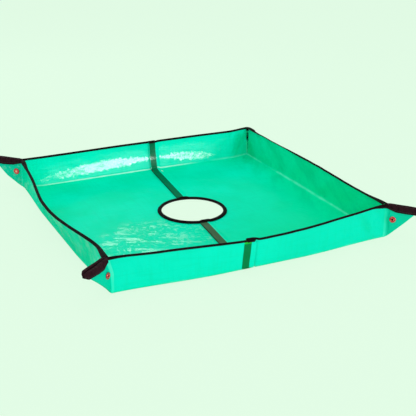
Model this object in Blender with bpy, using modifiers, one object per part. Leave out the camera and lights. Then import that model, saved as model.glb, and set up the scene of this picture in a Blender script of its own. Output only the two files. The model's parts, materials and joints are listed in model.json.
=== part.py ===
"""Repotting tarp: a square coated sheet in two halves, with four stood-up walls held by snapped corners.

Metres, +Z up. The origin is the centre of the base, on the ground. -Y is the front and -X is the left.
Each wall stands on a crease along one side of the base. Where two walls meet, the square of sheet
between them is pinched into an ear of two layers, closed by a press snap. The two halves lap along a
seam from the front rim to the back rim, through the round hole, and are held there by hook and loop
tape. The right half lies on the tapes, inside the tray.
"""

import math

import bmesh
import bpy
from mathutils import Vector

# Base and walls
BASE_SIDE = 0.608
WALL_HEIGHT = 0.071
SHEET = 0.0006
CLEARANCE = 0.0003
WALL_LEANS = {"front": 21.0, "back": 3.0, "left": 23.0, "right": 5.0}

# Seam, lap and closing tapes
SEAM_FRONT_X = -0.030
SEAM_BACK_X = 0.030
TAPE_WIDTH = 0.015
TAPE_THICKNESS = 0.0010
TAPE_HEM = 0.0015
LAP_RAMP = 0.010
CREASE_MARGIN = 0.006

# Edge binding, folded over the rims and the hole
BINDING = 0.0006
BINDING_DEPTH = 0.006
BINDING_MARGIN = 0.0015
BINDING_SET_BACK = 0.0014

# Round hole
HOLE_DIAMETER = 0.144
CUTTER_OVERRUN = 0.005

# Ears: half the space between the middles of the two layers, at three corners of the ear
EAR_GAP_BASE = 0.0018
EAR_GAP_TOP = 0.0026
EAR_GAP_TIP = 0.0036
EAR_SET_BACK = 0.0005
EAR_FOOT = 0.002

# Press snaps
SNAP_HEIGHT = 0.043
SNAP_REACH = 0.016
SHANK_RADIUS = 0.0016
CAP_RADIUS = 0.00665
CAP_HEIGHT = 0.0022
CAP_EDGE = 0.0006
POST_RADIUS = 0.0060
POST_HEIGHT = 0.0012
POST_RECESS_RADIUS = 0.0014
POST_RECESS_DEPTH = 0.0008
STUD_FLANGE_RADIUS = 0.0050
STUD_FLANGE = 0.0006
STUD_RADIUS = 0.0022
STUD_NECK_RADIUS = 0.0018
STUD_HEIGHT = 0.0020
STUD_ROUND = 0.0004
SOCKET_RADIUS = 0.0055
SOCKET_PLAY = 0.0004
SOCKET_ROUND = 0.0006

# Counts
WALL_COLUMNS = 24
WALL_ROWS = 4
RAMP_COLUMNS = 6
FLOOR_COLUMNS = 4
FLOOR_ROWS = 12
HOLE_SIDES = 72
RING_STEPS = 72
TURN_STEPS = 20
DOME_POINTS = 5

HALF_SIDE = BASE_SIDE / 2
WALL_PLANE = HALF_SIDE - SHEET / 2
FLOOR_EDGE = HALF_SIDE - SHEET - CLEARANCE
LAP = TAPE_WIDTH + 2 * TAPE_HEM
LAP_RISE = SHEET + 2 * TAPE_THICKNESS + 3 * CLEARANCE
HOLE_RADIUS = HOLE_DIAMETER / 2
SHEET_HOLE_RADIUS = HOLE_RADIUS + BINDING + CLEARANCE
RING_RADIUS = HOLE_RADIUS + BINDING_DEPTH
BINDING_SPACE = SHEET / 2 + CLEARANCE + BINDING / 2
EAR_SPLAY = math.asin((EAR_GAP_TIP - EAR_GAP_TOP) / WALL_HEIGHT)
EAR_TURN = math.radians(45) + EAR_SPLAY
UP = Vector((0, 0, 1))

COLOURS = {
    "sheet": ((0.0, 0.72, 0.44, 1), 0.28, 0.0),
    "binding": ((0.012, 0.008, 0.010, 1), 0.75, 0.0),
    "hook_tape": ((0.035, 0.10, 0.055, 1), 0.85, 0.0),
    "loop_tape": ((0.045, 0.12, 0.065, 1), 0.95, 0.0),
    "snap": ((0.62, 0.20, 0.16, 1), 0.25, 1.0),
}


def clear_scene():
    """Removes what the startup scene holds."""
    for obj in list(bpy.data.objects):
        bpy.data.objects.remove(obj, do_unlink=True)


def new_collection(name):
    collection = bpy.data.collections.new(name)
    bpy.context.scene.collection.children.link(collection)
    return collection


def make_material(name):
    """One Principled material from the table of colours."""
    colour, roughness, metallic = COLOURS[name]
    material = bpy.data.materials.new(name)
    material.use_nodes = True
    shader = material.node_tree.nodes["Principled BSDF"]
    shader.inputs["Base Color"].default_value = colour
    shader.inputs["Roughness"].default_value = roughness
    shader.inputs["Metallic"].default_value = metallic
    return material


class Body:
    """Pieces that move together, parented to an empty on their joint's axis."""

    def __init__(self, name, pivot, parent=None):
        self.pivot = Vector(pivot)
        self.empty = bpy.data.objects.new(name + "_pivot", None)
        self.empty.empty_display_size = WALL_HEIGHT / 4
        PARTS.objects.link(self.empty)
        self.empty.parent = parent.empty if parent else None
        self.empty.location = self.pivot - (parent.pivot if parent else Vector())

    def add(self, name, mesh, material):
        """Links a mesh as a piece of this body. Its points are already measured from the pivot."""
        mesh.materials.append(MATERIALS[material])
        piece = bpy.data.objects.new(name, mesh)
        piece.parent = self.empty
        PARTS.objects.link(piece)
        return piece


def panel(name, body, material, across, up, place, thickness):
    """A sheet piece: a grid whose points go to place(across, up), thickened both ways."""
    columns, rows = len(across) - 1, len(up) - 1
    shape = bmesh.new()
    bmesh.ops.create_grid(shape, x_segments=columns, y_segments=rows, size=1)
    for vertex in shape.verts:
        column = round((vertex.co.x + 1) / 2 * columns)
        row = round((vertex.co.y + 1) / 2 * rows)
        vertex.co = place(across[column], up[row]) - body.pivot
    mesh = bpy.data.meshes.new(name)
    shape.to_mesh(mesh)
    shape.free()
    piece = body.add(name, mesh, material)
    thicken = piece.modifiers.new("Thickness", "SOLIDIFY")
    thicken.thickness = thickness
    thicken.offset = 0
    thicken.use_even_offset = True
    return piece


def steps_between(start, end, count):
    return [start + (end - start) * step / count for step in range(count + 1)]


def cut_round(piece, centre, axis, radius, length, sides):
    """Cuts a round hole through a piece along an axis."""
    shape = bmesh.new()
    bmesh.ops.create_cone(shape, cap_ends=True, segments=sides,
                          radius1=radius, radius2=radius, depth=length)
    mesh = bpy.data.meshes.new(piece.name + "_cutter")
    shape.to_mesh(mesh)
    shape.free()
    cutter = bpy.data.objects.new(piece.name + "_cutter", mesh)
    cutter.location = centre
    cutter.rotation_euler = axis.to_track_quat("Z", "Y").to_euler()
    cutter.hide_render = True
    cutter.display_type = "WIRE"
    CUTTERS.objects.link(cutter)
    cut = piece.modifiers.new("Hole", "BOOLEAN")
    cut.object = cutter
    cut.solver = "EXACT"


def seam_x(y):
    """Where the seam's middle runs at a distance y from the centre."""
    share = (y + HALF_SIDE) / BASE_SIDE
    return SEAM_FRONT_X + (SEAM_BACK_X - SEAM_FRONT_X) * share


def lap_rise(from_seam):
    """How far the right half stands off the left one, at a distance to the right of the seam."""
    share = (from_seam - LAP / 2) / LAP_RAMP
    share = min(max(share, 0), 1)
    return LAP_RISE * (1 + math.cos(math.pi * share)) / 2


def lap_columns():
    """Distances from the seam where the right half has its lap and its ramp."""
    ramp = steps_between(LAP / 2, LAP / 2 + LAP_RAMP, RAMP_COLUMNS)
    return [-LAP / 2] + ramp


def floor_edge(wall_name, rise=0):
    """How far out the base reaches under a wall, where it stands off the ground by a rise."""
    inward = math.radians(max(-WALL_LEANS[wall_name], 0))
    return FLOOR_EDGE - rise - (SHEET + rise) * math.tan(inward)


class Wall:
    """One side's wall surface. Along is +X or +Y, and outward points away from the tray."""

    def __init__(self, name, outward):
        self.name = name
        self.outward = Vector((*outward, 0))
        self.along = Vector((abs(outward[1]), abs(outward[0]), 0))
        self.lean = math.radians(WALL_LEANS[name])

    def point(self, along, height, out=0):
        """A point up the wall's slope, and a distance out from its middle surface."""
        bow = (1 + math.cos(math.pi * along / HALF_SIDE)) / 2
        lean = self.lean * bow
        up = self.outward * math.sin(lean) + UP * math.cos(lean)
        normal = self.outward * math.cos(lean) - UP * math.sin(lean)
        foot = self.outward * WALL_PLANE + self.along * along
        return foot + up * height + normal * out

    def crease(self):
        """The middle of the crease that the wall turns about."""
        return self.outward * HALF_SIDE


def ear_gap(height):
    """Half the space between an ear's layers at the corner line, at a height."""
    return EAR_GAP_BASE + (EAR_GAP_TOP - EAR_GAP_BASE) * height / WALL_HEIGHT


def wall_end(height):
    """How far along a wall its corner line lies, at a height."""
    return WALL_PLANE - math.sqrt(2) * ear_gap(height)


class EarLayer:
    """One of an ear's two flat layers. It turns about the corner line of the wall that carries it."""

    def __init__(self, wall, end):
        self.wall = wall
        self.end = end
        self.foot = wall.outward * WALL_PLANE + wall.along * end * wall_end(0)
        self.top = wall.outward * WALL_PLANE + wall.along * end * wall_end(WALL_HEIGHT)
        self.top += UP * WALL_HEIGHT
        self.reach = wall.along * end * math.cos(EAR_TURN) + wall.outward * math.sin(EAR_TURN)
        normal = self.reach.cross(self.top - self.foot).normalized()
        away = wall.outward - wall.along * end
        self.normal = normal if normal.dot(away) > 0 else -normal

    def point(self, reach, height, out=0):
        """A point out along the ear and up its corner line, and a distance out from its middle."""
        share = height / WALL_HEIGHT
        return self.foot.lerp(self.top, share) + self.reach * reach + self.normal * out


def binding_profile():
    """The folded binding's middle line: distances out from the sheet's middle, and below the rim."""
    over = CLEARANCE + BINDING / 2
    return [(-BINDING_SPACE, -BINDING_DEPTH), (-BINDING_SPACE, over),
            (BINDING_SPACE, over), (BINDING_SPACE, -BINDING_DEPTH)]


def make_floor(name, body, right):
    """One half of the base, with half of the round hole."""
    rows = steps_between(-FLOOR_EDGE, FLOOR_EDGE, FLOOR_ROWS)
    near = lap_columns() if right else [LAP / 2]
    far = steps_between(0, 1, FLOOR_COLUMNS)[1:]
    outer_x = floor_edge("right") if right else -floor_edge("left")

    def place(column, row):
        kind, value = column
        start = seam_x(row) + near[-1]
        if kind == "near":
            x, rise = seam_x(row) + value, lap_rise(value) if right else 0
        else:
            x, rise = start + (outer_x - start) * value, 0
        edge = floor_edge("back" if row > 0 else "front", rise)
        y = math.copysign(min(abs(row), edge), row)
        return Vector((x, y, SHEET / 2 + rise))

    columns = [("near", value) for value in near] + [("far", value) for value in far]
    piece = panel(name, body, "sheet", columns, rows, place, SHEET)
    cut_round(piece, Vector(), UP, SHEET_HOLE_RADIUS, 2 * (LAP_RISE + CUTTER_OVERRUN), HOLE_SIDES)


def wall_columns(wall, half):
    """Columns of a wall or of one half of it, as (kind, value): a share to an end, or a place by the seam."""
    if half is None:
        return [("share", share) for share in steps_between(-1, 1, WALL_COLUMNS)]
    far = [("share", share) for share in steps_between(0, 1, WALL_COLUMNS // 2)[1:]]
    near = [LAP / 2] if half == "left" else lap_columns()
    return [("near", value) for value in near] + far


def make_wall(wall, half, body):
    """A wall, or one half of a wall that the seam crosses, with its binding."""
    seam = seam_x(WALL_PLANE * wall.outward.y)
    side = -1 if half == "left" else 1
    name = wall.name if half is None else f"{wall.name}_{half}"
    columns = wall_columns(wall, half)
    last_near = seam + max((value for kind, value in columns if kind == "near"), default=0)

    def along_and_rise(column, height, set_back):
        kind, value = column
        end = wall_end(height) - set_back
        if kind == "near":
            return seam + value, lap_rise(value) if half == "right" else 0
        if half is None:
            return value * end, 0
        return last_near + (side * end - last_near) * value, 0

    def place_sheet(column, height):
        along, rise = along_and_rise(column, height, EAR_SET_BACK)
        return wall.point(along, max(height, CLEARANCE + rise), -rise)

    def place_binding(column, corner):
        out, below = corner
        along, rise = along_and_rise(column, WALL_HEIGHT, BINDING_SET_BACK)
        return wall.point(along, WALL_HEIGHT + below, out - rise)

    heights = [CLEARANCE] + steps_between(LAP_RISE + 2 * CLEARANCE, WALL_HEIGHT, WALL_ROWS)
    panel(f"wall_{name}", body, "sheet", columns, heights, place_sheet, SHEET)
    panel(f"binding_{name}", body, "binding", columns, binding_profile(), place_binding, BINDING)


def make_ear_layer(name, layer, body):
    """One layer of an ear with its binding, and the hole for the snap's shank."""

    def place_sheet(share, height):
        return layer.point(EAR_SET_BACK + (height - EAR_SET_BACK) * share, height)

    def place_binding(reach, corner):
        out, below = corner
        return layer.point(reach, WALL_HEIGHT + below, out)

    piece = panel(f"ear_{name}", body, "sheet", [0, 1], [EAR_FOOT, WALL_HEIGHT], place_sheet, SHEET)
    cut_round(piece, layer.point(SNAP_REACH, SNAP_HEIGHT), layer.normal,
              SHANK_RADIUS + CLEARANCE, SHEET + 2 * CUTTER_OVERRUN, TURN_STEPS)
    reaches = [BINDING_SET_BACK, WALL_HEIGHT - BINDING_DEPTH]
    panel(f"binding_ear_{name}", body, "binding", reaches, binding_profile(), place_binding, BINDING)


def make_floor_tape(name, body, kind, sign):
    """A tape on the base, from the crease to the hole's binding."""
    level = SHEET + CLEARANCE + TAPE_THICKNESS / 2
    if kind == "hook":
        level += TAPE_THICKNESS + CLEARANCE
    start = sign * (FLOOR_EDGE - CREASE_MARGIN)
    end = sign * (RING_RADIUS + BINDING_MARGIN)

    def place(across, y):
        return Vector((seam_x(y) + across, y, level))

    panel(name, body, kind + "_tape", [-TAPE_WIDTH / 2, TAPE_WIDTH / 2], [start, end],
          place, TAPE_THICKNESS)


def make_wall_tape(name, body, kind, wall):
    """A tape on a wall, from the crease to the rim's binding."""
    inward = SHEET / 2 + CLEARANCE + TAPE_THICKNESS / 2
    if kind == "hook":
        inward += TAPE_THICKNESS + CLEARANCE
    seam = seam_x(WALL_PLANE * wall.outward.y)
    heights = [CREASE_MARGIN, WALL_HEIGHT - BINDING_DEPTH - BINDING_MARGIN]

    def place(across, height):
        return wall.point(seam + across, height, -inward)

    panel(name, body, kind + "_tape", [-TAPE_WIDTH / 2, TAPE_WIDTH / 2], heights,
          place, TAPE_THICKNESS)


def make_hole_binding(name, body, right):
    """Half of the hole's binding: a flat ring on the sheet, with a lip down the hole's edge."""
    top = SHEET + CLEARANCE + BINDING
    profile = [(HOLE_RADIUS, 0), (HOLE_RADIUS + BINDING, 0), (HOLE_RADIUS + BINDING, top - BINDING),
               (RING_RADIUS, top - BINDING), (RING_RADIUS, top), (HOLE_RADIUS, top)]
    skew = math.atan((SEAM_BACK_X - SEAM_FRONT_X) / BASE_SIDE)
    middle = (SEAM_FRONT_X + SEAM_BACK_X) / 2
    lap_angle = math.asin((LAP / 2 + (-middle if right else middle)) / RING_RADIUS)
    first = math.radians(-90) - skew - lap_angle
    turn = math.radians(180) + 2 * lap_angle
    if not right:
        first = math.radians(90) - skew - lap_angle
    shape = bmesh.new()
    corners = [shape.verts.new((radius * math.cos(first), radius * math.sin(first), height))
               for radius, height in profile]
    shape.faces.new(corners)
    bmesh.ops.spin(shape, geom=shape.faces[:] + shape.edges[:] + shape.verts[:], cent=(0, 0, 0),
                   axis=(0, 0, 1), angle=turn, steps=RING_STEPS)
    if right:
        for vertex in shape.verts:
            vertex.co.z += lap_rise(vertex.co.x - seam_x(vertex.co.y))
    bmesh.ops.recalc_face_normals(shape, faces=shape.faces[:])
    mesh = bpy.data.meshes.new(name)
    shape.to_mesh(mesh)
    shape.free()
    body.add(name, mesh, "binding")


def turned(name, body, profile, centre, axis, closed=False):
    """A turned piece: a profile at +X, from the top down its outer side, round an axis."""
    shape = bmesh.new()
    points = [shape.verts.new((radius, 0, height)) for radius, height in profile]
    pairs = list(zip(points, points[1:]))
    if closed:
        pairs.append((points[-1], points[0]))
    for pair in pairs:
        shape.edges.new(pair)
    mesh = bpy.data.meshes.new(name)
    shape.to_mesh(mesh)
    shape.free()
    piece = body.add(name, mesh, "snap")
    piece.location = centre - body.pivot
    piece.rotation_euler = axis.to_track_quat("Z", "Y").to_euler()
    screw = piece.modifiers.new("Turn", "SCREW")
    screw.steps = screw.render_steps = TURN_STEPS
    screw.use_merge_vertices = True
    screw.merge_threshold = CLEARANCE / 100
    screw.use_smooth_shade = True


def cap_profile():
    """A domed cap with a shank through the sheet, measured up from the sheet's outer face."""
    dome = []
    for step in range(DOME_POINTS + 1):
        angle = math.radians(90) * step / DOME_POINTS
        height = CAP_EDGE + (CAP_HEIGHT - CAP_EDGE) * math.cos(angle)
        dome.append((CAP_RADIUS * math.sin(angle), CLEARANCE + height))
    return dome + [(CAP_RADIUS, CLEARANCE), (SHANK_RADIUS, CLEARANCE), (SHANK_RADIUS, -SHEET),
                   (0, -SHEET)]


def post_profile():
    """A flanged post with a round recess, measured up from the sheet's outer face."""
    top = CLEARANCE + POST_HEIGHT
    floor = top - POST_RECESS_DEPTH
    slope = POST_HEIGHT / 2
    return [(0, floor), (POST_RECESS_RADIUS, floor), (POST_RECESS_RADIUS, top),
            (POST_RADIUS - slope, top), (POST_RADIUS, top - slope), (POST_RADIUS, CLEARANCE),
            (SHANK_RADIUS, CLEARANCE), (SHANK_RADIUS, -SHEET), (0, -SHEET)]


def stud_profile():
    """A flanged stud, measured in from the sheet's inner face."""
    flange = CLEARANCE + STUD_FLANGE
    top = flange + STUD_HEIGHT
    widest = top - STUD_ROUND * 2
    return [(0, top), (STUD_RADIUS - STUD_ROUND, top), (STUD_RADIUS, widest + STUD_ROUND),
            (STUD_RADIUS, widest), (STUD_NECK_RADIUS, flange), (STUD_FLANGE_RADIUS, flange),
            (STUD_FLANGE_RADIUS, CLEARANCE), (0, CLEARANCE)]


def socket_profile(layer):
    """A ring with the stud's bore, measured in from the sheet's inner face."""
    half_gap = ear_gap(SNAP_HEIGHT) + math.sin(EAR_SPLAY) * SNAP_REACH
    tilt = abs(abs(layer.normal.x) - abs(layer.normal.y)) + abs(layer.normal.z)
    stud_face = 2 * half_gap - SHEET - CLEARANCE - STUD_FLANGE
    top = stud_face - CLEARANCE - 2 * SOCKET_RADIUS * tilt
    bore = STUD_RADIUS + SOCKET_PLAY
    return [(bore, top), (SOCKET_RADIUS - SOCKET_ROUND, top), (SOCKET_RADIUS, top - SOCKET_ROUND),
            (SOCKET_RADIUS, CLEARANCE), (bore, CLEARANCE)]


def make_snap(corner, cap_layer, cap_body, post_layer, post_body):
    """A press snap: cap and socket on the side wall's layer, post and stud on the other."""
    outer = cap_layer.point(SNAP_REACH, SNAP_HEIGHT, SHEET / 2)
    turned(f"snap_cap_{corner}", cap_body, cap_profile(), outer, cap_layer.normal)
    inner = cap_layer.point(SNAP_REACH, SNAP_HEIGHT, -SHEET / 2)
    turned(f"snap_socket_{corner}", cap_body, socket_profile(cap_layer), inner, -cap_layer.normal,
           closed=True)
    outer = post_layer.point(SNAP_REACH, SNAP_HEIGHT, SHEET / 2)
    turned(f"snap_post_{corner}", post_body, post_profile(), outer, post_layer.normal)
    inner = post_layer.point(SNAP_REACH, SNAP_HEIGHT, -SHEET / 2)
    turned(f"snap_stud_{corner}", post_body, stud_profile(), inner, -post_layer.normal)


def make_corner(corner, end_wall, end_body, side_wall, side_body):
    """An ear of two layers and its snap, between a front or back wall and a side wall."""
    end_layer = EarLayer(end_wall, math.copysign(1, side_wall.outward.x))
    side_layer = EarLayer(side_wall, math.copysign(1, end_wall.outward.y))
    names = f"{corner}_end", f"{corner}_side"
    end_ear = Body(f"ear_{names[0]}", end_layer.foot, end_body)
    side_ear = Body(f"ear_{names[1]}", side_layer.foot, side_body)
    make_ear_layer(names[0], end_layer, end_ear)
    make_ear_layer(names[1], side_layer, side_ear)
    make_snap(corner, side_layer, side_ear, end_layer, end_ear)


def build():
    """Both halves, then the walls and tapes, then the corners."""
    left = Body("half_left", (0, 0, 0))
    right = Body("half_right", (0, 0, 0), left)
    make_floor("floor_left", left, right=False)
    make_floor("floor_right", right, right=True)
    make_hole_binding("hole_binding_left", left, right=False)
    make_hole_binding("hole_binding_right", right, right=True)

    side_walls = {"left": Wall("left", (-1, 0)), "right": Wall("right", (1, 0))}
    side_bodies = {}
    for half, wall in side_walls.items():
        side_bodies[half] = Body(f"wall_{half}", wall.crease(), left if half == "left" else right)
        make_wall(wall, None, side_bodies[half])

    for end_name, sign in (("front", -1), ("back", 1)):
        wall = Wall(end_name, (0, sign))
        left_body = Body(f"wall_{end_name}_left", wall.crease(), left)
        right_body = Body(f"wall_{end_name}_right", wall.crease(), right)
        make_wall(wall, "left", left_body)
        make_wall(wall, "right", right_body)
        make_floor_tape(f"loop_tape_floor_{end_name}", left, "loop", sign)
        make_floor_tape(f"hook_tape_floor_{end_name}", right, "hook", sign)
        make_wall_tape(f"loop_tape_wall_{end_name}", left_body, "loop", wall)
        make_wall_tape(f"hook_tape_wall_{end_name}", right_body, "hook", wall)
        make_corner(f"{end_name}_left", wall, left_body, side_walls["left"], side_bodies["left"])
        make_corner(f"{end_name}_right", wall, right_body, side_walls["right"], side_bodies["right"])


clear_scene()
PARTS = new_collection("repotting_tarp")
CUTTERS = new_collection("cutters")
MATERIALS = {name: make_material(name) for name in COLOURS}
build()
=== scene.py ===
"""Looks of the repotting tarp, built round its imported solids.

Metres, +Z up, -Y the front, -X the left, the origin at the middle of the round hole, on the ground.
Every cloth piece carries a UV map in metres that says where it lies on the sheet before it is folded,
so that the weave and the creases run on from piece to piece.
"""

import json
import logging
import math
from collections.abc import Callable, Sequence
from dataclasses import dataclass, field
from enum import Enum

import bpy
from mathutils import Matrix, Vector, noise
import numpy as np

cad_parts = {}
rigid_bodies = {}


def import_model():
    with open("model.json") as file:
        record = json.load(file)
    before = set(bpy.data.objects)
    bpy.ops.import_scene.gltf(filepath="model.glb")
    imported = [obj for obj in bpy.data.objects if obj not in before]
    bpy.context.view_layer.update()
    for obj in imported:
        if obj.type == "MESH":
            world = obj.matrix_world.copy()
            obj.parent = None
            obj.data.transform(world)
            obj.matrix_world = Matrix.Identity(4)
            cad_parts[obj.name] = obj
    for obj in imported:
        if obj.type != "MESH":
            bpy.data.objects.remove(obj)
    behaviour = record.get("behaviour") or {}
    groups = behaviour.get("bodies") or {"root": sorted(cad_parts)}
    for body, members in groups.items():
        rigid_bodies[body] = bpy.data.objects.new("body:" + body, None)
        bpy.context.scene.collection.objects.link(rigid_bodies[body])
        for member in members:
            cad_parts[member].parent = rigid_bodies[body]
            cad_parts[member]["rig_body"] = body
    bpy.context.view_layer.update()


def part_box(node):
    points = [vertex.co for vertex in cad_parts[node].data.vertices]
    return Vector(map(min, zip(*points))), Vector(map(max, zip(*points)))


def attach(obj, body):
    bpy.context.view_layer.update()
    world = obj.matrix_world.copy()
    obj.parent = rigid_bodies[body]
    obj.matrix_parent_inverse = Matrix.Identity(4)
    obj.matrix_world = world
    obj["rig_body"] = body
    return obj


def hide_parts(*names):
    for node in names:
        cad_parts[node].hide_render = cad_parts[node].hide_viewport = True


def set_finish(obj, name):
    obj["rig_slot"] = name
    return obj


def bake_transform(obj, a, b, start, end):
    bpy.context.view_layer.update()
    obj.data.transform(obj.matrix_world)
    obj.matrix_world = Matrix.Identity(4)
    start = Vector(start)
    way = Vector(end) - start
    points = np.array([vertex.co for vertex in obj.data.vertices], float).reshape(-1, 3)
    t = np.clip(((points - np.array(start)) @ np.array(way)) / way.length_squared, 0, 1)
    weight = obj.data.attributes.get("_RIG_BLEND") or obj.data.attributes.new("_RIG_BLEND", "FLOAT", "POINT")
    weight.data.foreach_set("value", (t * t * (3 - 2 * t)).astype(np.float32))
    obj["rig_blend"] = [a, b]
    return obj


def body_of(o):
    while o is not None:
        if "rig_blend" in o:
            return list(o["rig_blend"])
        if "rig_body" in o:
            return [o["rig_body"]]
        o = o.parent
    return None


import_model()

log = logging.getLogger("repotting_tarp")
UP = Vector((0, 0, 1))
Row = tuple[str, float]
Colour = tuple[float, float, float, float]


@dataclass(frozen=True)
class MatSizes:
    """Sizes that the solids have, in metres."""

    base_side: float = 0.608
    wall_height: float = 0.071
    sheet: float = 0.0006
    clearance: float = 0.0003
    seam_front_x: float = -0.030
    seam_back_x: float = 0.030
    tape_width: float = 0.015
    tape_thickness: float = 0.0010
    tape_hem: float = 0.0015
    lap_ramp: float = 0.010
    binding: float = 0.0006
    binding_depth: float = 0.006
    hole_diameter: float = 0.144
    ear_gap_base: float = 0.0018
    ear_gap_top: float = 0.0026
    ear_gap_tip: float = 0.0036
    snap_height: float = 0.043
    snap_reach: float = 0.016

    @property
    def half_side(self) -> float:
        """Half of the base's side."""
        return self.base_side / 2

    @property
    def plane(self) -> float:
        """How far out the middle of a wall's sheet stands at its crease."""
        return self.half_side - self.sheet / 2

    @property
    def lap(self) -> float:
        """Width over which the right half covers the left one."""
        return self.tape_width + 2 * self.tape_hem

    @property
    def lap_height(self) -> float:
        """How far the right half stands off the left one in the lap."""
        return self.sheet + 2 * self.tape_thickness + 3 * self.clearance

    @property
    def hole_radius(self) -> float:
        """Radius of the bound hole."""
        return self.hole_diameter / 2

    @property
    def ear_splay(self) -> float:
        """Angle by which an ear's layer leaves the diagonal."""
        return math.asin((self.ear_gap_tip - self.ear_gap_top) / self.wall_height)

    def seam_x(self, y: float) -> float:
        """Where the seam's middle runs at a distance y from the centre."""
        y = min(max(y, -self.half_side), self.half_side)
        share = (y + self.half_side) / self.base_side
        return self.seam_front_x + (self.seam_back_x - self.seam_front_x) * share

    def lap_rise(self, from_seam: float) -> float:
        """How far the right half is raised, at a distance to the right of the seam."""
        share = (from_seam - self.lap / 2) / self.lap_ramp
        share = min(max(share, 0), 1)
        return self.lap_height * (1 + math.cos(math.pi * share)) / 2

    def ear_gap(self, height: float) -> float:
        """Half the space between an ear's layers at the corner line."""
        share = height / self.wall_height
        return self.ear_gap_base + (self.ear_gap_top - self.ear_gap_base) * share

    def wall_end(self, height: float) -> float:
        """How far along a wall its corner line lies."""
        return self.plane - math.sqrt(2) * self.ear_gap(height)


SIZES = MatSizes()
# The walls' pieces of the sheet hold this much of the base next to their crease.
FLOOR_STRIP = 0.034
# Distance across the binding's map from one point of its profile to the next.
TAPE_STEP = 0.0012


class Half(Enum):
    """The two halves of the mat."""

    LEFT = "left"
    RIGHT = "right"

    @property
    def sign(self) -> int:
        """Side of the seam, -1 or 1."""
        return -1 if self is Half.LEFT else 1


def spread(start: float, end: float, count: int) -> list[float]:
    """Evenly spaced values from start to end.

    Args:
        start: First value.
        end: Last value.
        count: Number of steps between them.

    Returns:
        The values, one more than the steps.
    """
    return [start + (end - start) * step / count for step in range(count + 1)]


def smooth(share: float) -> float:
    """A soft step from 0 to 1."""
    share = min(max(share, 0), 1)
    return share * share * (3 - 2 * share)


def rounded(near: Vector, corner: Vector, far: Vector, share: float) -> Vector:
    """A point on the curve from near to far that bends at a corner between them."""
    return near * (1 - share) ** 2 + corner * 2 * share * (1 - share) + far * share ** 2


def slump(spot: Vector) -> Vector:
    """How far the rim stands off its straight place near three of the corners."""
    moved = Vector((0, 0, 0))
    for along_x, along_y, shift, radius in (
        (-1, -1, Vector((-0.0080, 0.0, 0.0034)), 0.095),
        (1, -1, Vector((0.0, 0.0, 0.0045)), 0.095),
        (1, 1, Vector((0.0, 0.0, 0.0040)), 0.060),
    ):
        from_corner = math.hypot(spot.x - along_x * SIZES.plane, spot.y - along_y * SIZES.plane)
        moved += shift * smooth(1 - from_corner / radius) * smooth((spot.z - 0.036) / 0.034)
    return moved


@dataclass(frozen=True)
class Ripple:
    """Waves that a wall's sheet keeps, strongest at its rim.

    Attributes:
        height: Height of the broad waves.
        length: Their length.
        seed: Where in the noise they start.
        fine: Height of the small creases.
    """

    height: float
    length: float
    seed: float
    fine: float = 0.0006

    def out(self, along: float, up: float) -> float:
        """How far the sheet stands out at a place along the wall and up it.

        Args:
            along: Distance from the wall's middle.
            up: Distance up the wall.

        Returns:
            The distance out, in metres.
        """
        ends = smooth((SIZES.plane - abs(along)) / 0.07)
        share = min(max(up / SIZES.wall_height, 0), 1.1)
        broad = noise.noise(Vector((along / self.length, self.seed, share * 0.5)))
        small = noise.noise(Vector(((along + 0.8 * up) / 0.036, self.seed + 9, up / 0.070)))
        calm = 1 - 0.6 * smooth((share - 0.55) / 0.45)
        return ends * (self.height * broad * share ** 1.4 + self.fine * small * smooth(share * 3) * calm)


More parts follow.
